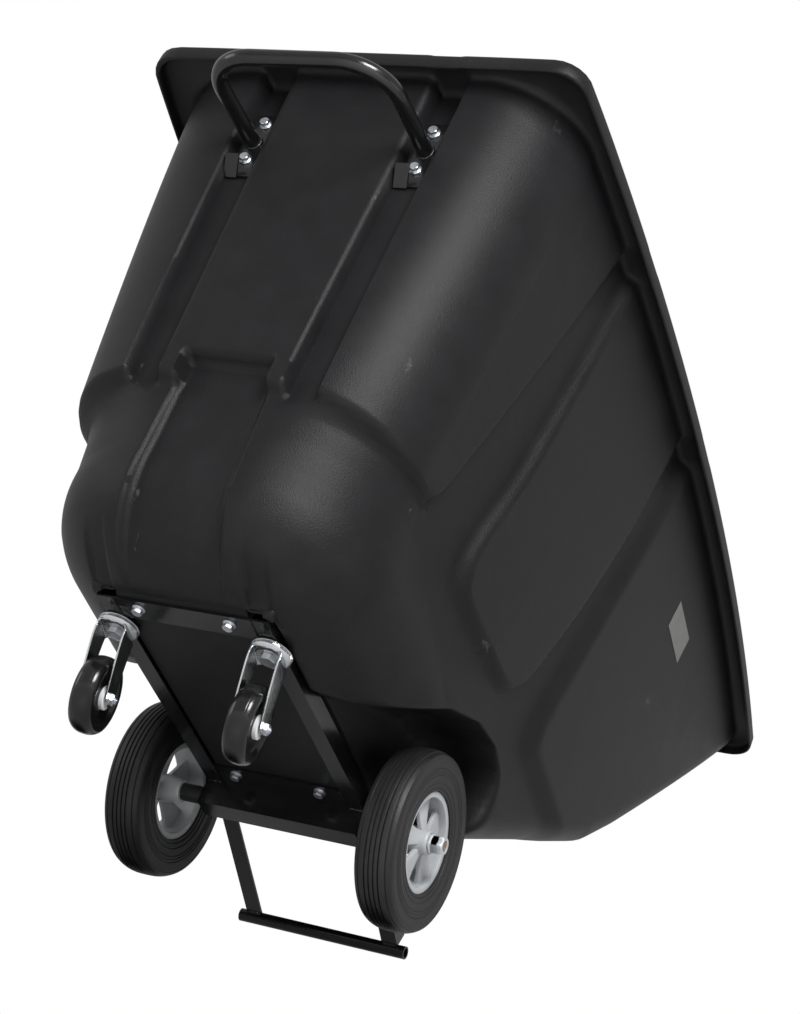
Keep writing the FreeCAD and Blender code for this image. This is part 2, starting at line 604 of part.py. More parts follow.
def make_wheel(side, sign):
    width, bore, r = "tyre_width", "tyre_bore", "wheel_radius"
    crown = "shoulder_round"
    tyre = turned(f"Tyre{sign + 1}", [
        (bore, "0.12 * tyre_width"), (f"{r} - 30", "0"), (f"{r} - {crown}", "0"),
        (f"{r} - 4", "4"), (r, crown), (r, f"{width} - {crown}"), (f"{r} - 4", f"{width} - 4"),
        (f"{r} - {crown}", width), (f"{r} - 30", width), (bore, "0.88 * tyre_width")])
    middle, edge = "tyre_width / 2", "rim_width / 2"
    half_web, half_boss = "web_wall / 2", "boss_length / 2"
    inner = f"{bore} - rim_wall"
    hub = turned(f"Hub{sign + 1}", [
        ("bush_radius", f"{middle} - {half_boss}"), ("boss_radius", f"{middle} - {half_boss}"),
        ("boss_radius + 4", f"{middle} - {half_web}"), (inner, f"{middle} - {half_web}"),
        (inner, f"{middle} - {edge}"), (bore, f"{middle} - {edge}"), (bore, f"{middle} + {edge}"),
        (inner, f"{middle} + {edge}"), (inner, f"{middle} + {half_web}"),
        ("boss_radius + 4", f"{middle} + {half_web}"), ("boss_radius", f"{middle} + {half_boss}"),
        ("bush_radius", f"{middle} + {half_boss}")])
    DOC.recompute()
    solid = hub.Shape.Volume
    window = circle_sketch(hub, f"HubWindow{sign + 1}", [("window_circle", "0", "window_radius")],
                           lift="tyre_width / 2 - web_wall")
    pocket = feature(hub, "Pocket", f"HubPocket{sign + 1}", window, Length="2 * web_wall")
    pocket.Reversed = True
    DOC.recompute()
    pattern = hub.newObject("PartDesign::PolarPattern", f"HubWindows{sign + 1}")
    pattern.Originals = [pocket]
    pattern.Axis = (window, ["N_Axis"])
    pattern.Angle = 360
    pattern.Occurrences = 5
    hub.Tip = pattern
    DOC.recompute()
    if hub.Shape.Volume > solid - 4 * math.pi * S.window_radius ** 2 * S.web_wall:
        raise RuntimeError("the hub's windows were not cut")
    bush = turned(f"Bush{sign + 1}", [
        ("axle_radius + running_gap", f"{middle} - {half_boss}"), ("bush_radius", f"{middle} - {half_boss}"),
        ("bush_radius", f"{middle} + {half_boss}"),
        ("axle_radius + running_gap", f"{middle} + {half_boss}")])
    for thing, label in ((tyre, "tyre"), (hub, "wheel_hub"), (bush, "hub_bush")):
        place(thing, (sign * S.wheel_inner, AXLE_Y, AXLE_Z), (0, 1, 0), 90.0 * sign)
        node(thing, f"{label}_{side}")


def make_axle_fittings():
    """Spacer collars inside, washers and nuts outside each large wheel."""
    middle = S.wheel_inner + S.tyre_width / 2
    inner, outer = middle - S.boss_length / 2, middle + S.boss_length / 2
    collars, washers, nuts = [], [], []
    derived_size("collar_length", inner - S.frame_half - S.play)
    for side, sign in SIDES:
        turn = ((0, 1, 0), 90.0 * sign)
        spot = (sign * S.frame_half, AXLE_Y, AXLE_Z)
        collars.append(ring(f"Collar{sign + 1}", "collar_radius", "axle_radius", "collar_length", spot, *turn))
        spot = (sign * (outer + S.play), AXLE_Y, AXLE_Z)
        washers.append(ring(f"AxleWasher{sign + 1}", "axle_washer_radius", "axle_radius",
                            "axle_washer_wall", spot, *turn))
        spot = (sign * (outer + S.play + S.axle_washer_wall), AXLE_Y, AXLE_Z)
        nuts.append(ring(f"AxleNut{sign + 1}", "axle_nut_radius", "axle_radius", "axle_nut_height",
                         spot, *turn, hex_outside=True))
    node(group("AxleCollars", collars), "axle_collars")
    node(group("AxleWashers", washers), "axle_washers")
    node(group("AxleNuts", nuts), "axle_nuts")


# ---------------------------------------------------------------- casters

def caster_heights():
    """Heights of the caster's layers below the frame, from the top down."""
    top_race = S.frame_under - S.race_wall
    ball_centre = top_race - S.play - S.ball_radius
    crown_top = ball_centre - S.ball_radius
    return top_race, ball_centre, crown_top


def fork_body(name):
    """Pressed yoke: a round crown and two legs that lead down to the axle eyes behind it."""
    top_race, ball_centre, crown_top = caster_heights()
    drop = crown_top - S.caster_radius
    body = new_body(name)
    disc = circle_sketch(body, name + "_disc", [("0", "0", "race_radius - 2"),
                                                ("0", "0", "kingpin_radius + running_gap")])
    pad = feature(body, "Pad", name + "_crown", disc, Length="fork_wall")
    pad.Reversed = True
    DOC.recompute()
    tip = -S.caster_trail
    outline = [(-16.0, 0.0), (14.0, 0.0), (14.0, -12.0), (tip + 12.0, -drop + 6.0),
               (tip + 9.0, -drop - 11.0), (tip - 9.0, -drop - 11.0), (tip - 12.0, -drop + 4.0),
               (-30.0, -34.0), (-30.0, -26.0)]
    for sx in (1, -1):
        sketch = new_sketch(body, f"{name}_leg{sx + 1}", role="YZ_Plane",
                            lift=f"{sx} * (fork_gap / 2 + fork_wall / 2)")
        count = len(outline)
        for i in range(count):
            a, b = outline[i], outline[(i + 1) % count]
            sketch.addGeometry(Part.LineSegment(V(a[0], a[1], 0), V(b[0], b[1], 0)), False)
        for i in range(count):
            sketch.addConstraint(Sketcher.Constraint("Coincident", i, 2, (i + 1) % count, 1))
        leg = feature(body, "Pad", f"{name}_plate{sx + 1}", sketch, Length="fork_wall")
        leg.Midplane = True
        DOC.recompute()
    solid = body.Shape.Volume
    eye = circle_sketch(body, name + "_eye", [("-caster_trail", repr(-drop), "caster_bolt_radius")],
                        role="YZ_Plane")
    bore = feature(body, "Pocket", name + "_eye_bore", eye, Length="2 * fork_gap")
    bore.Midplane = True
    DOC.recompute()
    if body.Shape.Volume > solid - math.pi * S.caster_bolt_radius ** 2 * S.fork_wall:
        raise RuntimeError("the fork's axle eyes were not cut")
    return body


def make_caster(side, sign):
    top_race, ball_centre, crown_top = caster_heights()
    hub = (sign * S.caster_spread, AXLE_Y + S.caster_reach)
    turn = FreeCAD.Rotation(V(0, 0, 1), S.caster_turn)
    tag = str(sign + 1)
    upper = ring("TopRace" + tag, "race_radius", "kingpin_radius", "race_wall", (*hub, top_race))
    node(upper, f"caster_race_{side}")
    node(place(fork_body("Fork" + tag), (*hub, crown_top), (0, 0, 1), S.caster_turn), f"caster_fork_{side}")
    balls = []
    for i in range(int(S.ball_count)):
        angle = 2 * math.pi * i / S.ball_count
        ball = bind(DOC.addObject("Part::Sphere", f"Ball{tag}_{i}"), Radius="ball_radius")
        balls.append(place(ball, (hub[0] + S.ball_circle * math.cos(angle),
                                  hub[1] + S.ball_circle * math.sin(angle), ball_centre)))
    node(group("Balls" + tag, balls), f"caster_balls_{side}")
    crown_under = crown_top - S.fork_wall
    head = hexagon("KingpinHead" + tag, "kingpin_hex", "kingpin_nut_height",
                   (*hub, crown_under - S.play - S.kingpin_nut_height))
    stem = cylinder("KingpinStem" + tag, "kingpin_radius",
                    "race_wall + 2 * ball_radius + fork_wall + angle_wall + kingpin_nut_height + 2",
                    (*hub, crown_under - S.play))
    node(fuse("Kingpin" + tag, head, stem), f"caster_kingpin_{side}")
    node(ring("KingpinNut" + tag, "kingpin_hex", "kingpin_radius", "kingpin_nut_height",
              (*hub, S.frame_under + S.angle_wall), (0, 0, 1), 30.0, hex_outside=True),
         f"caster_kingpin_nut_{side}")
    axle = V(*hub, S.caster_radius) + turn.multVec(V(0, -S.caster_trail, 0))
    across = turn.multiply(FreeCAD.Rotation(V(0, 1, 0), 90))

    def on_axle(thing, start):
        thing.Placement = FreeCAD.Placement(axle + turn.multVec(V(start, 0, 0)), across)
        return thing

    wide, hub_wide = "caster_width", "caster_hub_width"
    wheel = turned("CasterWheel" + tag, [
        ("caster_hub_radius", "6"), ("caster_radius - 16", "6"), ("caster_radius - 11", "1"),
        ("caster_radius - 5", "2.5"), ("caster_radius - 1.5", "7"), ("caster_radius", f"{wide} / 2 - 4"),
        ("caster_radius", f"{wide} / 2 + 4"), ("caster_radius - 1.5", f"{wide} - 7"),
        ("caster_radius - 5", f"{wide} - 2.5"), ("caster_radius - 11", f"{wide} - 1"),
        ("caster_radius - 16", f"{wide} - 6"), ("caster_hub_radius", f"{wide} - 6")])
    node(on_axle(wheel, -S.caster_width / 2), f"caster_wheel_{side}")
    hub_part = ring("CasterHub" + tag, "caster_hub_radius", "sleeve_radius + running_gap", hub_wide, (0, 0, 0))
    node(on_axle(hub_part, -S.caster_hub_width / 2), f"caster_hub_{side}")
    sleeve = ring("CasterSleeve" + tag, "sleeve_radius", "caster_bolt_radius", "fork_gap", (0, 0, 0))
    node(on_axle(sleeve, -S.fork_gap / 2), f"caster_sleeve_{side}")
    half = S.fork_gap / 2 + S.fork_wall
    head = hexagon("CasterBoltHead" + tag, "caster_hex", "caster_head_height", (0, 0, -S.caster_head_height))
    shank = cylinder("CasterBoltShank" + tag, "caster_bolt_radius",
                     "fork_gap + 2 * fork_wall + caster_head_height + 3", (0, 0, 0))
    bolt = fuse("CasterBolt" + tag, head, shank)
    bolt.Placement = FreeCAD.Placement(axle + turn.multVec(V(half, 0, 0)),
                                       turn.multiply(FreeCAD.Rotation(V(0, 1, 0), -90)))
    node(bolt, f"caster_bolt_{side}")
    nut = ring("CasterNut" + tag, "caster_hex", "caster_bolt_radius", "caster_head_height", (0, 0, 0),
               hex_outside=True)
    node(on_axle(nut, -half - S.caster_head_height), f"caster_nut_{side}")


# ---------------------------------------------------------------- build and write

def check_document():
    for thing in DOC.Objects:
        if {"Invalid", "Error"} & set(thing.State):
            raise RuntimeError(f"{thing.Name} did not compute")
    for thing in NODES:
        if thing.Shape.isNull() or not thing.Shape.isValid():
            raise RuntimeError(f"{thing.Label} has no valid shape")


def main():
    make_sheet()
    make_hopper()
    make_side_members()
    node(cross_bar("RearBar", "rear_bar_width", S.frame_rear_reach, S.rear_bolt_reach), "rear_cross_bar")
    node(cross_bar("FrontBar", "front_bar_width", S.front_bar_reach, S.front_bolt_reach), "front_cross_bar")
    make_axle_tube()
    make_tip_stand()
    make_handle()
    make_brackets()
    make_fasteners()
    make_label()
    for side, sign in SIDES:
        make_wheel(side, sign)
        make_caster(side, sign)
    make_axle_fittings()
    DOC.recompute()
    check_document()
    os.makedirs("parts", exist_ok=True)
    for thing in NODES:
        thing.Shape.exportStep(f"parts/{thing.Label}.step")
        print(f"{thing.Label:26s} solids {len(thing.Shape.Solids):3d}  volume {thing.Shape.Volume / 1000:10.1f} cm3")


main()
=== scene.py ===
import math

import bpy
import numpy as np
from mathutils import Matrix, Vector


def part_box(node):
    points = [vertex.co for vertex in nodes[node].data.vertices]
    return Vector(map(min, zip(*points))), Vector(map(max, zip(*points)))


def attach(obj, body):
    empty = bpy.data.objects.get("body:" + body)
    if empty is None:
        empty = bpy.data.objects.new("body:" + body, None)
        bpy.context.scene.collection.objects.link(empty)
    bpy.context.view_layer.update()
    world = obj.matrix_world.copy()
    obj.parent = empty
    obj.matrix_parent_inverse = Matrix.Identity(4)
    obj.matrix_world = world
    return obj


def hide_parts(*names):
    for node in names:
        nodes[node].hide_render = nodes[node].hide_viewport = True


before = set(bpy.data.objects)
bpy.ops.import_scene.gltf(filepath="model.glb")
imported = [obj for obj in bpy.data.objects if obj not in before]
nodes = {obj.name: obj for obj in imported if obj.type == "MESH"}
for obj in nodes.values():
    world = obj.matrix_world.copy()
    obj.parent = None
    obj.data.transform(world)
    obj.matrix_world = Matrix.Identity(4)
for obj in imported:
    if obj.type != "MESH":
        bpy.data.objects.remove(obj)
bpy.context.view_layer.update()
MM = 0.001


# ---------------------------------------------------------------- camera and lights
# A long lens looks up from below and behind, as if the truck hung tipped forward. Big soft lamps
# stand behind it, at both sides and underneath, in a white room that lights it less than it shows.

CAMERA_AT = np.array([-1340.2, 2446.0, -1061.8])
CAMERA_FORWARD = np.array([0.42351, -0.73122, 0.53475])
CAMERA_UP = np.array([0.12213, 0.63100, 0.76611])


def aim(obj, at, forward, up):
    """Place obj at a point in millimetres with its -Z along forward and its +Y near up."""
    f = forward / np.linalg.norm(forward)
    right = np.cross(f, up)
    right = right / np.linalg.norm(right)
    top = np.cross(right, f)
    rotation = Matrix((tuple(right), tuple(top), tuple(-f))).transposed().to_4x4()
    obj.matrix_world = Matrix.Translation(tuple(at * MM)) @ rotation


camera_data = bpy.data.cameras.new("camera")
camera_data.lens = 74.2
camera_data.sensor_width = 36.0
camera_data.clip_end = 50.0
camera = bpy.data.objects.new("camera", camera_data)
bpy.context.scene.collection.objects.link(camera)
aim(camera, CAMERA_AT, CAMERA_FORWARD, CAMERA_UP)
bpy.context.scene.camera = camera


def area_light(name, at, size, power, target=(0.0, 0.0, 500.0)):
    """A soft lamp at a point in millimetres, size in metres and power in watts, facing target."""
    light = bpy.data.lights.new(name, "AREA")
    light.shape = "RECTANGLE"
    light.size = size[0]
    light.size_y = size[1]
    light.energy = power
    obj = bpy.data.objects.new(name, light)
    bpy.context.scene.collection.objects.link(obj)
    at = np.array(at, float)
    aim(obj, at, np.array(target) - at, np.array([0.05, 0.1, 1.0]))
    return obj


area_light("key", (-1700.0, 2700.0, 1250.0), (1.0, 1.3), 125.0)
area_light("left", (2900.0, 2300.0, 700.0), (1.2, 1.8), 16.0)
area_light("side", (-3600.0, 300.0, 300.0), (1.6, 2.0), 9.0)
area_light("under", (-300.0, 1900.0, -2200.0), (2.4, 1.6), 34.0)

world = bpy.data.worlds.new("studio")
world.use_nodes = True
backdrop = world.node_tree.nodes["Background"]
backdrop.inputs["Color"].default_value = (1.0, 1.0, 1.0, 1.0)
seen_by = world.node_tree.nodes.new("ShaderNodeLightPath")
glow = world.node_tree.nodes.new("ShaderNodeMapRange")
glow.inputs["To Min"].default_value = 0.55
glow.inputs["To Max"].default_value = 1.0
world.node_tree.links.new(seen_by.outputs["Is Camera Ray"], glow.inputs["Value"])
world.node_tree.links.new(glow.outputs["Result"], backdrop.inputs["Strength"])
bpy.context.scene.world = world
bpy.context.scene.view_settings.view_transform = "Standard"


# ---------------------------------------------------------------- tub
# Black rotationally moulded tub with a turned-down rim; satin skin with a fine grain. One
# closed shell drawn as a grid: columns run round the tub, rows run down from its mouth.

def middle(node):
    """Centre of a node's box in millimetres."""
    low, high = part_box(node)
    return (np.array(low) + np.array(high)) / 2 / MM


def corners(node):
    """Lowest and highest corner of a node in millimetres."""
    low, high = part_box(node)
    return np.array(low) / MM, np.array(high) / MM


def mesh_object(name, points, faces, smooth_angle=40.0):
    """A mesh object from points in millimetres and faces, smooth except at sharp edges."""
    mesh = bpy.data.meshes.new(name)
    mesh.from_pydata((np.asarray(points) * MM).tolist(), [], [tuple(f) for f in faces])
    mesh.validate()
    mesh.shade_smooth()
    mesh.set_sharp_from_angle(angle=math.radians(smooth_angle))
    mesh.update()
    obj = bpy.data.objects.new(name, mesh)
    bpy.context.scene.collection.objects.link(obj)
    return obj


def grid_faces(rows, columns, wrap_rows=False, wrap_columns=True):
    """Quads of a grid of rows x columns points, closed round where asked."""
    i = np.arange(rows if wrap_rows else rows - 1)[:, None]
    j = np.arange(columns if wrap_columns else columns - 1)[None, :]
    a = i * columns + j
    b = i * columns + (j + 1) % columns
    c = (i + 1) % rows * columns + (j + 1) % columns
    d = (i + 1) % rows * columns + j
    return np.stack([a, b, c, d], axis=-1).reshape(-1, 4)


def outward(points, faces):
    """The faces with their turning direction reversed if the closed surface is inside out."""
    p = np.asarray(points)
    f = np.asarray(faces)
    a, b, c, d = (p[f[:, k]] for k in range(4))
    volume = np.einsum("ij,ij->i", a, np.cross(b, c) + np.cross(c, d)).sum()
    return f if volume > 0 else f[:, ::-1]


def add_scuffs(tree, place, colour, shader, strength):
    """Sparse pale rub marks: only the peaks of a stretched noise show."""
    stretch = tree.nodes.new("ShaderNodeMapping")
    stretch.inputs["Rotation"].default_value = (0.5, 0.9, 0.3)
    stretch.inputs["Scale"].default_value = (30.0, 7.0, 14.0)
    marks = tree.nodes.new("ShaderNodeTexNoise")
    marks.inputs["Scale"].default_value = 1.0
    marks.inputs["Detail"].default_value = 9.0
    marks.inputs["Roughness"].default_value = 0.72
    peaks = tree.nodes.new("ShaderNodeMapRange")
    peaks.inputs["From Min"].default_value = 0.665
    peaks.inputs["From Max"].default_value = 0.80
    peaks.inputs["To Max"].default_value = strength
    paler = tree.nodes.new("ShaderNodeMix")
    paler.data_type = "RGBA"
    paler.inputs["B"].default_value = (0.16, 0.16, 0.15, 1.0)
    tree.links.new(place.outputs["Object"], stretch.inputs["Vector"])
    tree.links.new(stretch.outputs["Vector"], marks.inputs["Vector"])
    tree.links.new(marks.outputs["Fac"], peaks.inputs["Value"])
    tree.links.new(peaks.outputs["Result"], paler.inputs["Factor"])
    tree.links.new(colour.outputs["Result"], paler.inputs["A"])
    tree.links.new(paler.outputs["Result"], shader.inputs["Base Color"])


def material(name, base, roughness, metallic=0.0, coat=0.0, spread=0.0, grain=0.0, grain_size=1.0,
             mottle=6.0, specular=0.5, tint=None, scuff=0.0):
    """A principled finish with mottled colour and roughness and a fine bump.

    spread is how far roughness wanders, grain the bump's strength, grain_size its size in
    millimetres and mottle the size of the colour patches in centimetres.
    """
    mat = bpy.data.materials.new(name)
    mat.use_nodes = True
    tree = mat.node_tree
    shader = tree.nodes["Principled BSDF"]
    shader.inputs["Metallic"].default_value = metallic
    shader.inputs["Coat Weight"].default_value = coat
    shader.inputs["Coat Roughness"].default_value = 0.08
    shader.inputs["Specular IOR Level"].default_value = specular
    place = tree.nodes.new("ShaderNodeTexCoord")
    patches = tree.nodes.new("ShaderNodeTexNoise")
    patches.inputs["Scale"].default_value = 100.0 / mottle
    patches.inputs["Detail"].default_value = 6.0
    tree.links.new(place.outputs["Object"], patches.inputs["Vector"])
    colour = tree.nodes.new("ShaderNodeMix")
    colour.data_type = "RGBA"
    colour.inputs["A"].default_value = (*[c * 0.8 for c in base], 1.0)
    colour.inputs["B"].default_value = (*(tint or [c * 1.25 for c in base]), 1.0)
    tree.links.new(patches.outputs["Fac"], colour.inputs["Factor"])
    tree.links.new(colour.outputs["Result"], shader.inputs["Base Color"])
    if scuff:
        add_scuffs(tree, place, colour, shader, scuff)
    rough = tree.nodes.new("ShaderNodeMapRange")
    rough.inputs["To Min"].default_value = roughness - spread
    rough.inputs["To Max"].default_value = roughness + spread
    tree.links.new(patches.outputs["Fac"], rough.inputs["Value"])
    tree.links.new(rough.outputs["Result"], shader.inputs["Roughness"])
    if grain:
        fine = tree.nodes.new("ShaderNodeTexNoise")
        fine.inputs["Scale"].default_value = 1000.0 / grain_size
        fine.inputs["Detail"].default_value = 3.0
        tree.links.new(place.outputs["Object"], fine.inputs["Vector"])
        bump = tree.nodes.new("ShaderNodeBump")
        bump.inputs["Strength"].default_value = grain
        bump.inputs["Distance"].default_value = grain_size * MM
        tree.links.new(fine.outputs["Fac"], bump.inputs["Height"])
        tree.links.new(bump.outputs["Normal"], shader.inputs["Normal"])
    return mat


def wear(obj, mat):
    """Give obj this one material on every slot it has."""
    obj.data.materials.clear()
    obj.data.materials.append(mat)


def add_piece(obj, mat, body, slot, *stands_for):
    """Finish a new piece: its material, the body it rides on and the nodes it stands for."""
    wear(obj, mat)
    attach(obj, body)
    if stands_for:
        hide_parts(*stands_for)
    return obj


AXLE = middle("axle_rod")
HALF_LENGTH = -corners("hopper")[0][1]
RIM_TOP = corners("hopper")[1][2]
RIM_LOW = RIM_TOP - 25.0
BEND_Z = 450.0   # rows are closer together below this height
EVEN_Z = 318.0   # and below this one they end at the arch or the floor
FLOOR_Z = 149.0
KEEL_Z = corners("front_cross_bar")[1][2] + 0.3
SLOT_Z = corners("side_member_left")[1][2] + 3.5
KEEL_HALF = 98.0
LOBE_INNER = corners("side_member_left")[1][0] + 4.0
REAR_EDGE = 758.0
FRONT_EDGE = -HALF_LENGTH
RAIL_END = corners("side_member_left")[1][1]
WALL = 4.0
ARCH_AT = AXLE[1] + np.array([-124.0, -116.0, -109.0, -101.0, -88.0, -71.0, -23.0, 52.0, 139.0, 205.0,
                              240.0, 275.0, 312.0])
ARCH_HEIGHT = AXLE[2] + np.array([22.0, 50.0, 91.0, 130.0, 155.0, 169.0, 180.0, 169.0, 131.0, 82.0,
                                  56.0, 36.0, 22.0])
GROOVE_HALF = 23.0
LEDGE_Z = 386.0


def smooth(x):
    """A soft step from 0 to 1: 3 x^2 - 2 x^3, held at both ends."""
    x = np.clip(x, 0.0, 1.0)
    return x * x * (3.0 - 2.0 * x)


def step_up(x, at, width):
    """0 below at, 1 above it, over a soft width."""
    return smooth((x - at) / width + 0.5)


def rim_half(y):
    """Half width of the rim: widest just ahead of the axle, bowed in towards both ends."""
    return 374.0 - 6.5e-5 * (y + 63.0) ** 2


def side_half(y, z):
    """Half width of the upper tier's skin before its valleys are pressed in."""
    down = np.clip((RIM_LOW - z) / 542.0, 0.0, 2.0)
    ahead = np.clip((200.0 - y) / 900.0, 0.0, 1.0)
    return rim_half(y) - 34.0 - 62.0 * down ** 1.25 * (1.0 + 0.25 * ahead)


def rear_wall(z):
    """The rear wall leans out a little towards the rim."""
    return 688.0 + 0.066 * (z - 390.0)


def front_wall(z):
    """The front wall: a shallow slope under the nose, then a steeper one up to the rim."""
    return np.interp(z, [FLOOR_Z, 219.0, 426.0, 497.0, RIM_LOW], [8.0, -105.0, -438.0, -507.0, -867.0])


def lower_inset(z):
    """How far the lower tier's outline has drawn in at a height, round its underside."""
    radius, centre = 132.0, 277.0
    drop = np.clip(centre - z, 0.0, radius - 2.0)
    return radius - np.sqrt(radius ** 2 - drop ** 2)


def ledge_height(j):
    """The upper tier's lower edge: higher on the rear wall than on the flank."""
    return np.interp(j, [corner_start - 10.0, side_start], [394.0, 372.0])


def outline_numbers(j, z):
    """Rear reach, corner radius, tier blend (1 above the ledge) and underside inset at a height."""
    blend = step_up(z, ledge_height(j) - 7.0, 15.0)
    inset = lower_inset(z)
    low_rear = 668.0 - 0.06 * np.clip(390.0 - z, 0.0, 113.0)
    rear = blend * rear_wall(z) + (1 - blend) * (low_rear - inset)
    low_radius = np.clip(150.0 + 0.40 * (390.0 - z), 150.0, 190.0) - inset
    high_radius = 150.0 - 20.0 * np.clip((z - 390.0) / 516.0, 0.0, 1.0)
    radius = blend * high_radius + (1 - blend) * np.maximum(low_radius, 40.0)
    return rear, radius, blend, inset


def smooth_max(first, second, radius=13.0):
    """The larger of two distances, rounded where they are equal."""
    top = np.maximum(first, second)
    low = np.minimum(first, second)
    return top + radius * np.log1p(np.exp((low - top) / radius))


def raised(y, z):
    """1 on the flank's three raised panels, 0 in the valleys between and below them."""
    first = smooth_max(504.0 - 0.148 * (z - 374.0) - y, 371.0 - z)
    rear_2 = y - np.interp(z, [369.0, 391.0, 440.0, 539.0, 915.0], [352.0, 358.0, 357.0, 347.0, 354.0])
    front_2 = np.interp(z, [373.0, 400.0, 556.0, 737.0, 915.0], [92.0, 78.0, 46.0, 25.0, 19.0]) - y
    second = smooth_max(smooth_max(rear_2, front_2), 357.0 - z, 20.0)
    rear_3 = y - np.interp(z, [373.0, 397.0, 483.0, 647.0, 882.0], [-48.0, -41.0, -41.0, -47.0, -67.0])
    third = smooth_max(rear_3, 370.0 - z)
    second_width = np.where(rear_2 > front_2, 20.0, 13.0)
    return np.maximum(smooth(1 - first / 13.0),
                      np.maximum(smooth(1 - second / second_width), smooth(1 - third / 36.0)))


REAR_STRAIGHT = 168.0
rear_x = np.concatenate([np.linspace(0, 48, 8), np.arange(52.0, REAR_STRAIGHT + 0.1, 4.0)])
CORNER_COLUMNS, SIDE_COLUMNS, FRONT_CORNER_COLUMNS = 26, 166, 10
front_share = np.linspace(0, 1, 14)[1:]
COLUMNS = len(rear_x) + CORNER_COLUMNS + SIDE_COLUMNS + FRONT_CORNER_COLUMNS + len(front_share)
corner_start = len(rear_x)
side_start = corner_start + CORNER_COLUMNS
front_corner_start = side_start + SIDE_COLUMNS
front_start = front_corner_start + FRONT_CORNER_COLUMNS
density_at = np.linspace(0, 1, 400)
density = 1.0 + 1.3 * ((density_at < 0.25) | ((density_at > 0.38) & (density_at < 0.64)))
side_share = np.interp((np.arange(SIDE_COLUMNS) + 1) / (SIDE_COLUMNS + 1.0),
                       np.cumsum(density) / density.sum(), density_at)


def side_width(y, z, inset):
    """Half width of the tub at a place on the flank, panels and lower tier together."""
    turn_z = np.interp(y, [200.0, 470.0], [250.0, 330.0])
    face = side_half(y, np.maximum(z, turn_z))
    drawn = inset * (0.3 + 0.7 * step_up(y, 240.0, 130.0))
    return face - 14.5 * (1 - raised(y, z)) - drawn


def groove_centre(z):
    """Distance from the middle of the grooves for the handle's plates."""
    return 116.0 + 14.0 * np.clip((z - 390.0) / 400.0, 0.0, 1.2)


def channel_half(z):
    """Half width of the rear channel, growing downwards."""
    return 65.0 + 9.0 * np.clip((410.0 - z) / 260.0, 0.0, 1.0)


def wall_point(j, z):
    """Plan position (x, y) of column j at height z, both arrays of one shape."""
    rear, radius, blend, inset = outline_numbers(j, z)
    corner_y = rear - radius
    width = side_width(corner_y, z, inset)
    front = front_wall(z)
    front_radius = np.clip(60.0 + 0.05 * (RIM_LOW - z), 60.0, 95.0) - 0.25 * inset
    front_y = front + front_radius
    centre_x = width - radius
    x = np.zeros_like(z)
    y = np.zeros_like(z)
    # rear wall and the start of its corner: columns follow the grooves and the channel
    rear_part = j < corner_start
    base_x = rear_x[np.clip(j, 0, corner_start - 1)]
    last_x = np.minimum(REAR_STRAIGHT, width - 0.12 * radius)
    beside_groove = np.interp(base_x, [78.0, 94.0, 154.0, REAR_STRAIGHT], [0.0, 1.0, 1.0, 0.0])
    beside_channel = np.interp(base_x, [36.0, 54.0, 76.0, 94.0], [0.0, 1.0, 1.0, 0.0])
    fixed_x = base_x + (groove_centre(z) - 120.0) * beside_groove
    fixed_x = fixed_x + (channel_half(z) - 65.0) * beside_channel
    squeeze = (last_x - 131.0) / (REAR_STRAIGHT - 131.0)
    fixed_x = np.where(fixed_x > 131.0, 131.0 + (fixed_x - 131.0) * squeeze, fixed_x)
    reach = np.clip(fixed_x - centre_x, 0.0, radius)
    x = np.where(rear_part, fixed_x, x)
    y = np.where(rear_part, corner_y + np.sqrt(radius ** 2 - np.minimum(reach, radius * 0.999) ** 2), y)
    # rest of the rear corner: a straight run, if any, then the arc
    corner_part = (j >= corner_start) & (j < side_start)
    share = np.clip((j - corner_start + 1) / CORNER_COLUMNS, 0.0, 1.0)
    run = np.maximum(centre_x - last_x, 0.0)
    start_angle = np.arcsin(np.clip((last_x - centre_x) / radius, 0.0, 0.999))
    arc = radius * (np.pi / 2 - start_angle)
    along = share * (run + arc)
    angle = start_angle + np.maximum(along - run, 0.0) / radius
    corner_x = np.where(along < run, last_x + along, centre_x + radius * np.sin(angle))
    corner_yy = np.where(along < run, rear, corner_y + radius * np.cos(angle))
    x = np.where(corner_part, corner_x, x)
    y = np.where(corner_part, corner_yy, y)
    # flank
    side_part = (j >= side_start) & (j < front_corner_start)
    share = side_share[np.clip(j - side_start, 0, SIDE_COLUMNS - 1)]
    side_y = corner_y + share * (front_y - corner_y)
    side_x = side_width(side_y, z, inset)
    x = np.where(side_part, side_x, x)
    y = np.where(side_part, side_y, y)
    # front corner and front wall
    turn = np.clip((j - front_corner_start) / (FRONT_CORNER_COLUMNS - 1.0), 0.0, 1.0) * np.pi / 2
    front_width = side_width(front_y, z, inset)
    nose_part = (j >= front_corner_start) & (j < front_start)
    x = np.where(nose_part, front_width - front_radius * (1 - np.cos(turn)), x)
    y = np.where(nose_part, front_y - front_radius * np.sin(turn), y)
    front_part = j >= front_start
    inward = front_share[np.clip(j - front_start, 0, len(front_share) - 1)]
    x = np.where(front_part, (front_width - front_radius) * (1 - inward), x)
    y = np.where(front_part, front, y)
    return x, y


def arch_height(y):
    """Height of the wheel arch's edge: a hump over the tyre with a long tail rearwards."""
    fine = np.linspace(ARCH_AT[0], ARCH_AT[-1], 300)
    bow = np.interp(fine, ARCH_AT, ARCH_HEIGHT)
    for _ in range(8):
        bow[1:-1] = 0.25 * bow[:-2] + 0.5 * bow[1:-1] + 0.25 * bow[2:]
    return np.interp(y, fine, bow)


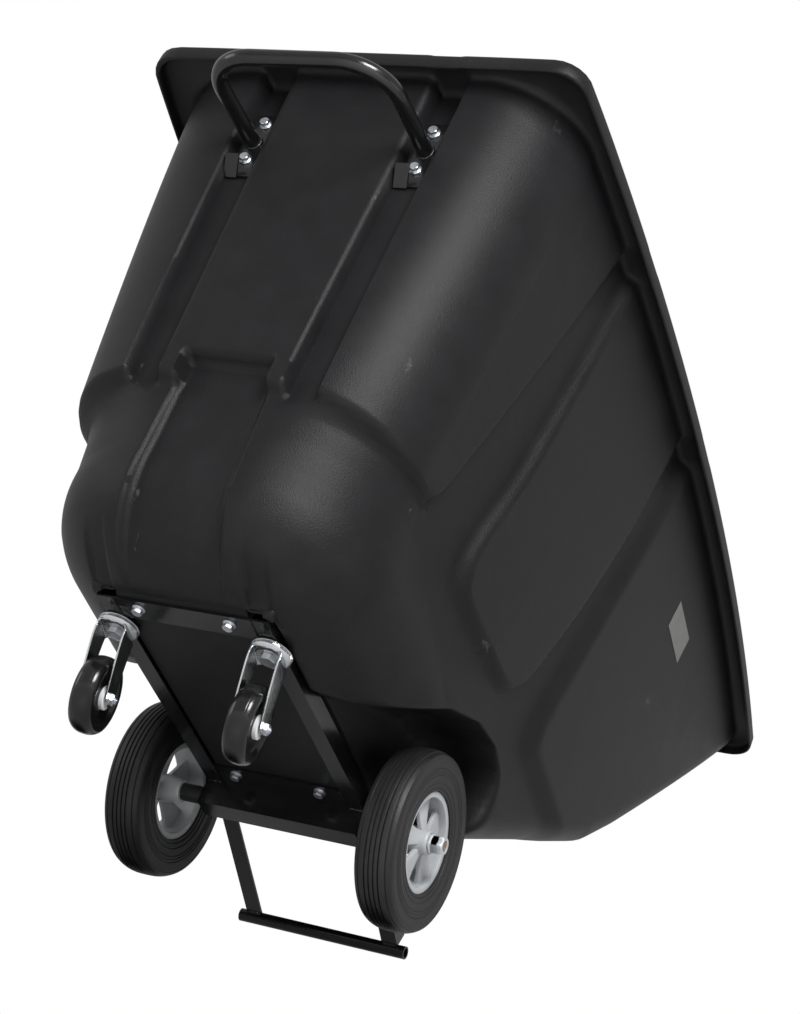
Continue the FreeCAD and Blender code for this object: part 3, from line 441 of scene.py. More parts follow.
def end_heights():
    """The height at which each column leaves the wall: at the arch, the floor or the nose."""
    j = np.arange(COLUMNS)
    heights = np.full(COLUMNS, FLOOR_Z)
    scan = np.linspace(BEND_Z, FLOOR_Z, 900)
    x, y = wall_point(np.repeat(j[None, :], len(scan), 0), np.repeat(scan[:, None], COLUMNS, 1))
    above = scan[:, None] - arch_height(y)
    outer = (j >= side_start) & ((x.min(axis=0) > 131.0) | (j < front_start))
    for k in np.nonzero(outer)[0]:
        below = np.nonzero(above[:, k] <= 0)[0]
        heights[k] = scan[below[0]] if len(below) else FLOOR_Z
    heights[j >= front_start] = np.maximum(heights[j >= front_start], SLOT_Z + 6.0)
    nose = (j >= front_corner_start) & (j < front_start)
    heights[nose] = np.maximum(heights[nose], SLOT_Z + 6.0)
    return heights


def pressed_in(x, y, z, j):
    """Depth of the grooves, the rear channel and the notches over the rails, in millimetres.

    Each is a soft-edged mask of the place (x, z) times the way in to its own floor.
    """
    rearward = (j < side_start) & (y > 500.0)
    groove = 1 - step_up(np.abs(x - groove_centre(z)), GROOVE_HALF, 7.0)
    floor_y = 692.0 - 0.075 * np.clip(738.0 - z, 0.0, 400.0)
    above_ledge = step_up(z, LEDGE_Z - 8.0, 16.0)
    depth_groove = groove * above_ledge * np.clip(y - floor_y, 0.0, 60.0)
    drop = np.clip(290.0 - z, 0.0, 148.0)
    channel_y = 648.0 + 0.11 * np.clip(z - 290.0, 0.0, 200.0) - (150.0 - np.sqrt(150.0 ** 2 - drop ** 2))
    channel = (1 - step_up(np.abs(x), channel_half(z) - 1.0, 10.0)) * (1 - step_up(z, 426.0, 12.0))
    depth_channel = channel * np.clip(y - channel_y, 0.0, 80.0)
    notch_floor = RAIL_END + 7.0 + 0.8 * (z - FLOOR_Z)
    notch = (1 - step_up(np.abs(x - 114.5), 16.5, 5.0)) * (1 - step_up(z, 170.0, 7.0))
    depth_notch = notch * np.clip(y - notch_floor, 0.0, 90.0)
    return np.where(rearward, np.maximum(depth_groove, np.maximum(depth_channel, depth_notch)), 0.0)


def wall_rows():
    """Points of the wall grid from the rim down to where each column leaves the wall."""
    upper = np.linspace(RIM_LOW + 4.0, BEND_Z, 40)
    level = np.linspace(BEND_Z, EVEN_Z, 28)[1:]
    share = np.linspace(0, 1, 31)[1:]
    low = EVEN_Z + share[:, None] * (end_heights()[None, :] - EVEN_Z)
    z = np.vstack([np.repeat(np.append(upper, level)[:, None], COLUMNS, 1), low])
    j = np.repeat(np.arange(COLUMNS)[None, :], len(z), 0)
    x, y = wall_point(j, z)
    return np.stack([x, y - pressed_in(x, y, z, j), z], axis=-1)


def rim_rows(top_row):
    """Rows from the mouth over the rim, down its skirt and back under it to the wall."""
    j = np.arange(COLUMNS)
    x, y = top_row[:, 0], top_row[:, 1]
    rim_x, rim_y = np.zeros(COLUMNS), np.zeros(COLUMNS)
    radius = 46.0
    side_y = np.clip(y, FRONT_EDGE + 55.0, REAR_EDGE - radius)
    rim_x[:] = rim_half(side_y)
    rim_y[:] = side_y
    rear_part = j < corner_start
    rim_x[rear_part], rim_y[rear_part] = x[rear_part], REAR_EDGE
    # the rear corner: a straight run and then a quarter circle, shared out as the wall's is
    start = REAR_STRAIGHT
    corner_part = (j >= corner_start) & (j < side_start)
    share = (j[corner_part] - corner_start + 1) / CORNER_COLUMNS
    width = rim_half(REAR_EDGE - radius)
    run, arc = width - radius - start, radius * np.pi / 2
    down = REAR_EDGE - radius - y[side_start]
    along = share * (run + arc + down)
    angle = np.clip((along - run) / radius, 0.0, np.pi / 2)
    on_run = along < run
    after = np.clip(along - run - arc, 0.0, None)
    rim_x[corner_part] = np.where(on_run, start + along, width - radius + radius * np.sin(angle))
    rim_y[corner_part] = np.where(on_run, REAR_EDGE, REAR_EDGE - radius + radius * np.cos(angle) - after)
    late = corner_part.copy()
    late[corner_part] = after > 0
    rim_x[late] = rim_half(rim_y[late])
    nose = (j >= front_corner_start) & (j < front_start)
    turn = np.linspace(0, np.pi / 2, FRONT_CORNER_COLUMNS)
    nose_width = rim_half(FRONT_EDGE + 50.0)
    rim_x[nose] = nose_width - 50.0 * (1 - np.cos(turn))
    rim_y[nose] = FRONT_EDGE + 50.0 - 50.0 * np.sin(turn)
    ahead = j >= front_start
    rim_x[ahead] = (nose_width - 50.0) * (1 - front_share)
    rim_y[ahead] = FRONT_EDGE
    path = [(-0.13, 12.0), (-0.13, 20.0), (-0.04, 24.0), (0.08, 25.0), (0.5, 25.0), (0.88, 25.0),
            (0.96, 24.0), (1.0, 20.5), (1.0, 12.0), (1.0, 3.0), (0.985, 0.6), (0.95, 0.0),
            (0.905, 0.4), (0.885, 3.0), (0.88, 10.0), (0.86, 15.5), (0.78, 18.5), (0.5, 19.5),
            (0.22, 19.0), (0.07, 16.5), (0.01, 11.0)]
    rows = [np.stack([x + t * (rim_x - x), y + t * (rim_y - y), np.full(COLUMNS, RIM_LOW + up)], -1)
            for t, up in path]
    return np.array(rows)


def floor_rows(last_row):
    """Rows from the wall's foot inward: arch roof or lobe floor, arch wall, rail slot and keel."""
    j = np.arange(COLUMNS)
    x, y, z = last_row.T
    behind = j < side_start
    ahead = j >= front_corner_start
    sides = ~behind & ~ahead
    over_keel = (x < KEEL_HALF + 1.0) & behind
    inner_x = np.minimum(x, LOBE_INNER)
    inner_x[sides] = LOBE_INNER
    inner_x[0] = 0.0
    top_y = np.where(behind, RAIL_END + 7.0, y)
    round_lobe = behind & (x > LOBE_INNER)
    top_y[round_lobe] = np.linspace(RAIL_END + 7.0, y[side_start], round_lobe.sum() + 1)[:-1]
    top = np.stack([inner_x, top_y, np.where(behind, FLOOR_Z, z)], -1)
    foot_y = np.where(ahead, 40.0, top_y)
    side_y = y[sides]
    foot_y[sides] = 40.0 + (side_y - side_y[-1]) / (side_y[0] - side_y[-1]) * (side_y[0] - 40.0)
    foot = np.stack([inner_x, foot_y, np.full(COLUMNS, SLOT_Z)], -1)
    foot[over_keel, 1:] = (RAIL_END + 1.0, KEEL_Z + 1.5)
    keel_x = np.minimum(inner_x, KEEL_HALF)
    edge_y = np.clip(foot_y, 57.0, RAIL_END - 3.0)
    edge = np.stack([keel_x, edge_y, np.full(COLUMNS, SLOT_Z)], -1)
    edge[over_keel, 1:] = (RAIL_END - 1.0, KEEL_Z + 0.5)
    keel = np.stack([keel_x, np.clip(edge_y, 59.0, RAIL_END - 3.0), np.full(COLUMNS, KEEL_Z)], -1)
    spine = np.stack([np.zeros(COLUMNS), np.linspace(RAIL_END - 20.0, 80.0, COLUMNS),
                      np.full(COLUMNS, KEEL_Z)], -1)
    rows, current = [], last_row
    for target, count in ((top, 11), (foot, 8), (edge, 3), (keel, 3), (spine, 4)):
        for k in range(1, count + 1):
            rows.append(current + (target - current) * (k / count))
        current = target
    return np.array(rows)


def relax(grid, first, last, times):
    """Average each point with its neighbours along its column, between two rows."""
    for _ in range(times):
        part = grid[first:last]
        grid[first:last] = 0.5 * part + 0.25 * (grid[first - 1:last - 1] + grid[first + 1:last + 1])
    return grid


def tub_grid():
    """The outside as one grid, how many rows its rim has, all eased round the wall's foot."""
    wall = wall_rows()
    rim = rim_rows(wall[0])
    floor = floor_rows(wall[-1])
    grid = np.vstack([rim, wall, floor])
    foot = len(rim) + len(wall)
    relax(grid, foot - 12, foot + 12, 9)
    grid[:, 0, 0] = 0.0
    grid[:, -1, 0] = 0.0
    return grid, len(rim)


def grid_normals(grid):
    """Unit normals of a half grid, kept in the mirror plane on its first and last column."""
    down = np.gradient(grid, axis=0)
    along = np.gradient(grid, axis=1)
    normal = np.cross(down, along)
    normal[:, (0, -1), 0] = 0.0
    return normal / (np.linalg.norm(normal, axis=-1, keepdims=True) + 1e-6)


def inner_rows(grid, rim_count):
    """The inside: every second row below the rim moved in by the wall's thickness."""
    normal = grid_normals(grid)
    sign = np.sign(normal[rim_count + 20, side_start + 40, 0])
    inside = grid - sign * normal * WALL
    inside[:, (0, -1), 0] = 0.0
    picked = np.concatenate([np.arange(rim_count + 1, len(grid) - 1, 4), [len(grid) - 1]])
    rows = inside[picked]
    rows[-1, :, 2] = KEEL_Z + WALL
    rows[-1, :, 0] = 0.0
    rows[-1, :, 1] = grid[-1, :, 1]
    return rows[::-1]


def mirrored_shell(half):
    """Points and faces of a closed shell from a half grid and its mirror image.

    Its first and last columns lie on x = 0, and so do its first and last rows.
    """
    rows, columns = half.shape[:2]
    around = 2 * columns - 2
    partner = np.concatenate([np.arange(columns), np.arange(columns - 2, 0, -1)])
    other = np.arange(around) >= columns
    points = half[:, partner].copy()
    points[:, other, 0] *= -1.0
    index = np.arange(rows * around).reshape(rows, around)
    for row in (0, rows - 1):
        index[row, other] = index[row, partner[other]]
    a, b = index[:-1], np.roll(index, -1, axis=1)[:-1]
    c, d = np.roll(index, -1, axis=1)[1:], index[1:]
    faces = np.stack([a, b, c, d], -1).reshape(-1, 4)
    used = np.unique(faces)
    renumber = np.zeros(rows * around, int)
    renumber[used] = np.arange(len(used))
    return points.reshape(-1, 3)[used], renumber[faces]


outer_grid, rim_count = tub_grid()
half_shell = np.vstack([inner_rows(outer_grid, rim_count), outer_grid])
tub_points, tub_faces = mirrored_shell(half_shell)
tub = mesh_object("tub", tub_points, outward(tub_points, tub_faces), 60.0)

tub_skin = material("tub_skin", (0.0055, 0.0055, 0.006), 0.40, spread=0.05, grain=0.4, grain_size=1.6,
                    mottle=5.0, specular=0.15, tint=(0.0095, 0.0095, 0.0105), scuff=0.6)
add_piece(tub, tub_skin, "chassis", "tub_plastic", "hopper")


# ---------------------------------------------------------------- label
# Blank grey sticker on the right flank; matt film, laid on the tub's skin.

def label_patch():
    """A thin patch that follows the flank: its skin's half width at each place plus the film."""
    y = np.linspace(-256.0, -361.0, 20)
    z = np.linspace(751.0, 802.0, 10)
    zz, yy = np.meshgrid(z, y, indexing="ij")
    outer = np.stack([-(side_half(yy, zz) + 0.7), yy, zz], -1)
    inner = outer + np.array([0.6, 0.0, 0.0])
    rows, columns = yy.shape
    n = rows * columns
    top = grid_faces(rows, columns, wrap_columns=False)
    faces = top.tolist() + (top[:, ::-1] + n).tolist()
    edge = np.concatenate([np.arange(columns), np.arange(1, rows) * columns + columns - 1,
                           (rows - 1) * columns + np.arange(columns - 2, -1, -1),
                           np.arange(rows - 2, 0, -1) * columns])
    for a, b in zip(edge, np.roll(edge, -1)):
        faces.append([b, a, a + n, b + n])
    points = np.vstack([outer.reshape(-1, 3), inner.reshape(-1, 3)])
    return points, faces


label_points, label_faces = label_patch()
label = mesh_object("label", label_points, outward(label_points, label_faces), 30.0)
label_film = material("label_film", (0.12, 0.12, 0.115), 0.5, spread=0.05, grain=0.1, mottle=2.0)
add_piece(label, label_film, "chassis", "label", "label_patch")


# ---------------------------------------------------------------- frame
# Angle-iron rails, cross bars, square axle tube and tip stand in gloss black paint, kept from
# the frame with softened edges, and ropes of weld bead where they meet.


def keep_node(node, mat, bevel=0.0):
    """Keep a node's own shape and give it a better finish and, where asked, softened edges."""
    obj = nodes[node]
    for k in range(max(1, len(obj.material_slots))):
        if obj.material_slots:
            obj.material_slots[k].material = mat
        else:
            obj.data.materials.append(mat)
    if bevel:
        soften = obj.modifiers.new("soften", "BEVEL")
        soften.width = bevel * MM
        soften.segments = 2
        soften.limit_method = "ANGLE"
        soften.harden_normals = False


def basis(axis):
    """Two unit vectors square to axis, and axis itself, as rows."""
    axis = np.asarray(axis, float) / np.linalg.norm(axis)
    side = np.cross(axis, [0.0, 0.0, 1.0] if abs(axis[2]) < 0.9 else [0.0, 1.0, 0.0])
    side = side / np.linalg.norm(side)
    return np.array([side, np.cross(axis, side), axis])


def capped(points, rows, columns):
    """Quads of a tube of rows x columns points plus a fan at each end."""
    faces = grid_faces(rows, columns).tolist()
    first, last = len(points), len(points) + 1
    ends = np.vstack([points, points[:columns].mean(axis=0), points[-columns:].mean(axis=0)])
    for j in range(columns):
        k = (j + 1) % columns
        faces.append([first, k, j])
        faces.append([last, (rows - 1) * columns + j, (rows - 1) * columns + k])
    return ends, faces


def joined(name, parts, smooth_angle=40.0):
    """One object from several (points, faces) solids."""
    points, faces, start = [], [], 0
    for p, f in parts:
        points.append(np.asarray(p))
        faces.extend([[v + start for v in face] for face in f])
        start += len(p)
    return mesh_object(name, np.vstack(points), faces, smooth_angle)


black_paint = material("black_paint", (0.004, 0.004, 0.004), 0.2, coat=0.12, spread=0.05, grain=0.03,
                       grain_size=7.0, mottle=3.0, specular=0.4)
for name in ("side_member_left", "side_member_right", "rear_cross_bar", "front_cross_bar", "axle_tube",
             "axle_end_plates", "tip_leg_left", "tip_leg_right"):
    keep_node(name, black_paint, bevel=0.7)
keep_node("tip_bar", black_paint, bevel=1.2)


def weld_bead(start, end, radius=2.6, lift=(0.0, 0.0, 0.0)):
    """A rope of overlapping ripples from start to end."""
    start, end = np.array(start, float), np.array(end, float)
    length = np.linalg.norm(end - start)
    count = max(8, int(length * 1.6))
    s = np.linspace(0, 1, count)
    across, over, _ = basis(end - start)
    turn = np.linspace(0, 2 * np.pi, 10, endpoint=False)
    swell = radius * (0.85 + 0.18 * np.abs(np.sin(s * length / 2.2)) + 0.1 * np.sin(s * 13.0))
    swell[[0, -1]] *= 0.35
    centre = start + s[:, None] * (end - start) + np.array(lift)
    ring = np.cos(turn)[:, None] * across + np.sin(turn)[:, None] * over
    points = (centre[:, None] + swell[:, None, None] * ring[None]).reshape(-1, 3)
    return capped(points, count, 10)


rail_low, rail_high = corners("side_member_left")
bar_low, bar_high = corners("rear_cross_bar")
front_low, front_high = corners("front_cross_bar")
tube_low, tube_high = corners("axle_tube")
tip = middle("tip_bar")
beads = []
for sign in (1, -1):
    seam = sign * bar_high[0]
    beads.append(weld_bead((seam, bar_low[1] + 2, bar_low[2] - 0.2),
                           (seam, bar_high[1] - 2, bar_low[2] - 0.2), 2.0))
    beads.append(weld_bead((seam, front_low[1] + 18, front_low[2] - 0.2),
                           (seam, front_high[1] - 2, front_low[2] - 0.2), 2.0))
    beads.append(weld_bead((sign * (rail_low[0] + 2), tube_high[1], rail_low[2]),
                           (sign * (rail_high[0] - 2), tube_high[1], rail_low[2]), 2.4))
    beads.append(weld_bead((sign * (rail_low[0] + 2), tip[1] + 9.5, tip[2] + 3.5),
                           (sign * (rail_high[0] - 2), tip[1] + 9.5, tip[2] + 3.5), 2.6))
    beads.append(weld_bead((sign * rail_low[0], tube_low[1] - 0.5, tube_high[2] - 2),
                           (sign * rail_high[0], tube_low[1] - 0.5, tube_high[2] - 2), 2.4))
welds = joined("frame_welds", beads, 60.0)
add_piece(welds, black_paint, "chassis", "frame_paint")


# ---------------------------------------------------------------- handle
# Bent tube and its two plates, gloss black, kept from the frame, with a bead round each root.

for name in ("handle_tube", "handle_bracket_left", "handle_bracket_right"):
    keep_node(name, black_paint, bevel=0.8)


def ring_bead(centre, axis, radius, thick):
    """A rippled bead round a tube's root."""
    turn = np.linspace(0, 2 * np.pi, 72, endpoint=False)
    around = np.linspace(0, 2 * np.pi, 10, endpoint=False)
    side, over, along = basis(axis)
    swell = thick * (0.9 + 0.2 * np.abs(np.sin(9 * turn)))
    out = np.cos(turn)[:, None] * side + np.sin(turn)[:, None] * over
    reach = radius + swell[:, None] * np.cos(around)
    points = (reach[..., None] * out[:, None] + (swell[:, None] * np.sin(around))[..., None] * along
              + np.asarray(centre))
    flat = points.reshape(-1, 3)
    return flat, outward(flat, grid_faces(72, 10, True)).tolist()


tube_box = corners("handle_tube")
plate_face = corners("handle_washers")[0][1]
grip_half = tube_box[1][0] - 11.0
roots = [ring_bead((sign * grip_half, plate_face + 1.5, RIM_TOP - 127.0), (0.0, 1.0, -0.16), 11.2, 2.2)
         for sign in (1, -1)]
root_beads = joined("handle_root_beads", roots, 60.0)
add_piece(root_beads, black_paint, "chassis", "handle_paint")


# ---------------------------------------------------------------- bolts, washers and nuts
# Zinc-plated hex hardware with chamfered corners, domed washer faces and threads that show.

zinc = material("zinc", (0.60, 0.62, 0.66), 0.32, metallic=1.0, spread=0.1, grain=0.2, grain_size=1.2,
                mottle=0.6)
HEX_RADIUS = 7.5
HEAD_HEIGHT = 5.5
NUT_HEIGHT = 6.5
NUT_BORE = 4.1
WASHER_THICK = 1.6
FLANGE_THICK = 1.2
BOLT_RADIUS = 4.0
BOLT_LENGTH = 19.8


def hex_solid(centre, axis, across_corners, height, chamfer=1.0, bore=0.0, segments=72):
    """A hexagon with chamfered corners.

    At each angle the radius is the lesser of the hexagon's and a cone's that opens from both faces.
    """
    turn = np.linspace(0, 2 * np.pi, segments, endpoint=False)
    sector = (turn + np.pi / 6) % (np.pi / 3) - np.pi / 6
    flat = across_corners * math.cos(math.pi / 6)
    hexagon = flat / np.cos(sector)
    heights = np.array([0.0, 0.0, chamfer * 0.5, chamfer, height - chamfer, height - chamfer * 0.5,
                        height, height])
    cone = np.array([bore, flat - 0.2, flat + 0.5, across_corners, across_corners, flat + 0.5,
                     flat - 0.2, bore])
    radius = np.minimum(hexagon[None, :], cone[:, None])
    local = np.stack([radius * np.cos(turn), radius * np.sin(turn),
                      np.repeat(heights[:, None], segments, 1)], -1)
    points = local.reshape(-1, 3) @ basis(axis) + np.asarray(centre, float)
    if bore:
        return points, outward(points, grid_faces(len(heights), segments, True)).tolist()
    inner = points[segments:-segments]
    return capped(inner, len(heights) - 2, segments)


def threaded_stub(centre, axis, radius, length, pitch=1.4):
    """A screw end: radius ripples with the pitch and tapers at the tip."""
    rows, segments = max(12, int(length / pitch * 8)), 36
    s = np.linspace(0, length, rows)
    turn = np.linspace(0, 2 * np.pi, segments, endpoint=False)
    phase = 2 * np.pi * s[:, None] / pitch - turn[None, :]
    ripple = radius - 0.22 * pitch * (1 + np.sin(phase)) * 0.9
    taper = np.clip((length - s) / 1.2, 0.55, 1.0)[:, None]
    wide = ripple * taper
    local = np.stack([wide * np.cos(turn), wide * np.sin(turn), np.repeat(s[:, None], segments, 1)], -1)
    points = local.reshape(-1, 3) @ basis(axis) + np.asarray(centre, float)
    return capped(points, rows, segments)


def spun(profile, segments, centre, axis):
    """Points of a closed profile (radius, distance along axis) spun about an axis."""
    profile = np.asarray(profile, float)
    turn = np.linspace(0, 2 * np.pi, segments, endpoint=False)
    local = np.stack([profile[:, :1] * np.cos(turn), profile[:, :1] * np.sin(turn),
                      np.broadcast_to(profile[:, 1:], (len(profile), segments))], axis=-1)
    return local.reshape(-1, 3) @ basis(axis) + np.asarray(centre, float)


def ring_part(profile, segments, centre, axis):
    """Points and faces of a ring-shaped solid: a closed profile spun about an axis."""
    points = spun(profile, segments, centre, axis)
    return points, outward(points, grid_faces(len(profile), segments, True)).tolist()


def dome_ring(centre, axis, outer, inner, thick):
    """A washer with rounded edges."""
    edge = min(0.5, thick / 3)
    profile = [(inner, 0.0), (outer - edge, 0.0), (outer, edge), (outer, thick - edge),
               (outer - edge, thick), (inner, thick)]
    return ring_part(profile, 56, centre, axis)


def solids_of(name):
    """Centres of a node's separate pieces, from the middles of their own boxes."""
    mesh = nodes[name].data
    count = len(mesh.vertices)
    group = np.arange(count)
    edges = np.array([e.vertices[:] for e in mesh.edges])
    while True:
        low = np.minimum(group[edges[:, 0]], group[edges[:, 1]])
        before = group.copy()
        np.minimum.at(group, edges[:, 0], low)
        np.minimum.at(group, edges[:, 1], low)
        group = group[group]
        if (group == before).all():
            break
    points = np.empty(count * 3)
    mesh.vertices.foreach_get("co", points)
    points = points.reshape(-1, 3) / MM
    found = [points[group == g] for g in np.unique(group)]
    boxes = [(p.min(axis=0), p.max(axis=0)) for p in found]
    merged = []
    for low, high in boxes:
        spot = (low + high) / 2
        if all(np.linalg.norm(spot - other) >= 4.0 for other in merged):
            merged.append(spot)
    return merged


def bolts_through(node, out):
    """Washers, and hex bolts with a flange under the head, at each washer of a node.

    out is the way that the heads face; each bolt starts from the washer's outer face.
    """
    out = np.array(out, float)
    low, high = corners(node)
    outermost = high if out.sum() > 0 else low
    washers, bolts = [], []
    for spot in solids_of(node):
        seat = np.where(out == 0, spot, outermost)
        washers.append(dome_ring(seat - WASHER_THICK * out, out, 9.0, 4.1, WASHER_THICK))
        bolts.append(dome_ring(seat, out, 8.2, 3.8, FLANGE_THICK))
        bolts.append(hex_solid(seat + FLANGE_THICK * out, out, HEX_RADIUS, HEAD_HEIGHT))
        bolts.append(threaded_stub(seat, -out, BOLT_RADIUS, BOLT_LENGTH))
    return washers, bolts


def nuts_on(node, inward):
    """Hex nuts at each nut of a node, each from its seat on the tub's wall and inward."""
    inward = np.array(inward, float)
    low, high = corners(node)
    nearest = low if inward.sum() > 0 else high
    seats = [np.where(inward == 0, spot, nearest) for spot in solids_of(node)]
    return [hex_solid(seat, inward, HEX_RADIUS, NUT_HEIGHT, bore=NUT_BORE) for seat in seats]


BOLTED = (("floor", "frame", (0, 0, -1)), ("wall", "handle", (0, 1, 0)))
for place, owner, out in BOLTED:
    washer_parts, bolt_parts = bolts_through(f"{owner}_washers", out)
    add_piece(joined(f"{place}_washers", washer_parts, 35.0), zinc, "chassis", "zinc", f"{owner}_washers")
    add_piece(joined(f"{place}_bolts", bolt_parts, 35.0), zinc, "chassis", "zinc", f"{owner}_bolts")
for place, owner, out in BOLTED:
    nut_parts = nuts_on(f"{owner}_nuts", [-way for way in out])
    add_piece(joined(f"{place}_nuts", nut_parts, 35.0), zinc, "chassis", "zinc", f"{owner}_nuts")


# ---------------------------------------------------------------- large wheels
# Solid black rubber tyres with six tread grooves and ringed sidewalls on light grey plastic
# hubs with five windows; steel bushes. Each surface is a profile spun about the axle.

TYRE_R = AXLE[2]
RIM_R = 70.0

tyre_rubber = material("tyre_rubber", (0.008, 0.008, 0.008), 0.45, spread=0.08, grain=0.25,
                       grain_size=2.2, mottle=4.0, specular=0.3, tint=(0.016, 0.0155, 0.015))
hub_plastic = material("hub_plastic", (0.34, 0.355, 0.37), 0.38, spread=0.06, grain=0.08, grain_size=2.0,
                       mottle=3.0, tint=(0.42, 0.435, 0.45))
bush_steel = material("bush_steel", (0.42, 0.42, 0.42), 0.35, metallic=1.0, spread=0.08, grain=0.2)


def tyre_profile(width):
    """Closed outline (radius, along) of a tyre.

    The crown is r = R - 5.5 |u|^3.2 with six grooves; each sidewall draws in from its fullest
    radius by a power of the distance, is cut by fine rings, and ends flat on the rim.
    """
    half = width / 2
    u = np.linspace(-0.95, 0.95, 110)
    crown = TYRE_R - 5.5 * np.abs(u / 0.95) ** 3.2
    for groove, deep in ((-0.72, 1.8), (-0.36, 3.0), (-0.12, 2.4), (0.12, 2.4), (0.36, 3.0), (0.72, 1.8)):
        crown -= deep * np.exp(-((u - groove) / 0.03) ** 4)
    r = np.linspace(crown[-1] - 1.8, RIM_R + 1.0, 70)
    bulge = half * (1 - 0.11 * np.abs((r - 108.0) / 38.0) ** 2.2)
    for ring, high in ((117.0, 0.5), (103.0, 0.9), (98.5, 0.8), (94.0, 0.8), (83.0, 0.8), (75.5, 1.0)):
        bulge -= high * np.exp(-((r - ring) / 0.9) ** 4)
    bulge = np.minimum(bulge, half)
    bulge[0] = 0.97 * half + 0.2
    right = np.stack([r, bulge], -1)
    left = np.stack([r[::-1], -bulge[::-1]], -1)
    return np.vstack([np.stack([crown, u * half], -1), right, left])


def rounded_square(turn, power):
    """Reach of a rounded square of half size 1: (|cos|^p + |sin|^p)^(-1/p)."""
    return (np.abs(np.cos(turn)) ** power + np.abs(np.sin(turn)) ** power) ** (-1 / power)


def capped_outward(points, rows, columns):
    """A capped tube whose faces all point outwards."""
    ends, faces = capped(points, rows, columns)
    quads = np.array([f for f in faces if len(f) == 4])
    if (outward(ends, quads)[0] != quads[0]).any():
        faces = [f[::-1] for f in faces]
    return ends, faces


def spoke(middle_x, facing, angle):
    """One broad flat web: a thin rounded slab of half width 6.5 + 15.5 s from boss to rim.

    It leans a little towards the wheel's middle plane on its way out.
    """
    rows, segments = 20, 28
    s = np.linspace(0, 1, rows)
    radius = 13.0 + s * 52.0
    half = 6.5 + 15.5 * s
    deep = 3.2 + 2.0 * (2 * s - 1) ** 2
    turn = np.linspace(0, 2 * np.pi, segments, endpoint=False)
    square = rounded_square(turn, 7)
    across = half[:, None] * square * np.cos(turn)
    along = deep[:, None] * square * np.sin(turn) + facing * (13.0 - 7.0 * s)[:, None]
    away = np.sqrt(np.maximum(radius[:, None] ** 2 - (s[:, None] * across) ** 2, 1.0))
    x = middle_x + along
    y = AXLE[1] + away * math.cos(angle) - across * math.sin(angle)
    z = AXLE[2] + away * math.sin(angle) + across * math.cos(angle)
    return capped_outward(np.stack([x, y, z], -1).reshape(-1, 3), rows, segments)


def hub_rim_profile(half):
    """Rim ring (radius, along): a flat lip at each side, a drop inside it and a thin well."""
    inner = [(RIM_R - 2.6, -half), (RIM_R - 7.5, -half + 0.6), (RIM_R - 8.2, -half + 3.0),
             (RIM_R - 7.0, -half + 9.0), (RIM_R - 6.2, 0.0), (RIM_R - 7.0, half - 9.0),
             (RIM_R - 8.2, half - 3.0), (RIM_R - 7.5, half - 0.6), (RIM_R - 2.6, half)]
    outer = [(RIM_R + 0.6, half - 0.6), (RIM_R + 0.8, half - 2.5), (RIM_R + 0.8, -half + 2.5),
             (RIM_R + 0.6, -half + 0.6)]
    return inner + outer


def boss_profile(half):
    """Boss ring: a rounded collar that swells where the webs meet it."""
    u = np.linspace(-1, 1, 24)
    outer = 17.0 + 3.5 * np.exp(-(u / 0.5) ** 2)
    outer[[0, -1]] -= 1.2
    points = [(r, x * half) for r, x in zip(outer, u)]
    return points + [(12.2, half), (12.2, -half)]


def spun_ring(name, profile, segments, centre, axis, smooth_angle=40.0):
    """A ring-shaped solid: a closed profile spun about an axis."""
    points, faces = ring_part(profile, segments, centre, axis)
    return mesh_object(name, points, faces, smooth_angle)


for side, sign in (("left", 1), ("right", -1)):
    body = f"{side}_big_wheel"
    low, high = corners(f"tyre_{side}")
    width = high[0] - low[0]
    centre_x = (high[0] + low[0]) / 2
    centre = (centre_x, AXLE[1], AXLE[2])
    tyre = spun_ring(f"tyre_{side}_rubber", tyre_profile(width), 168, centre, (1, 0, 0), 30.0)
    add_piece(tyre, tyre_rubber, body, "tyre_rubber", f"tyre_{side}")
    parts = [ring_part(hub_rim_profile(23.0), 120, centre, (1, 0, 0)),
             ring_part(boss_profile(28.0), 64, centre, (1, 0, 0))]
    for k in range(5):
        parts.append(spoke(centre_x, sign, math.radians(90.0 + 36.0 + 72.0 * k)))
    hub = joined(f"hub_{side}_webbed", parts, 40.0)
    add_piece(hub, hub_plastic, body, "hub_plastic", f"wheel_hub_{side}")
    keep_node(f"hub_bush_{side}", bush_steel, bevel=0.5)

black_plastic = material("black_plastic", (0.010, 0.010, 0.010), 0.4, spread=0.05, grain=0.15)
axle_steel = material("axle_steel", (0.34, 0.29, 0.25), 0.45, metallic=0.7, spread=0.12, grain=0.3,
                      mottle=0.8, tint=(0.28, 0.15, 0.09))
keep_node("axle_collars", black_plastic, bevel=0.8)
keep_node("axle_rod", axle_steel, bevel=0.8)
washer_parts, nut_parts = [], []
for spot in solids_of("axle_washers"):
    washer_parts.append(dome_ring((spot[0] - 1.25, AXLE[1], AXLE[2]), (1, 0, 0), 14.0, 8.0, 2.5))
for spot in solids_of("axle_nuts"):
    nut_parts.append(hex_solid((spot[0] - 6.0, AXLE[1], AXLE[2]), (1, 0, 0), 13.5, 12.0, 1.6, bore=8.0))
dull_zinc = material("dull_zinc", (0.50, 0.52, 0.54), 0.5, metallic=0.55, spread=0.08, grain=0.2,
                     mottle=0.6)
add_piece(joined("hub_washers", washer_parts, 35.0), dull_zinc, "chassis", "zinc", "axle_washers")
add_piece(joined("hub_nuts", nut_parts, 35.0), dull_zinc, "chassis", "zinc", "axle_nuts")


# ---------------------------------------------------------------- casters
# Bright zinc swivel casters: pressed race rings with balls between, a bent fork, a hex kingpin,
# and a glossy black wheel on a pale hub. Rings are spun profiles, fork legs swept strips.

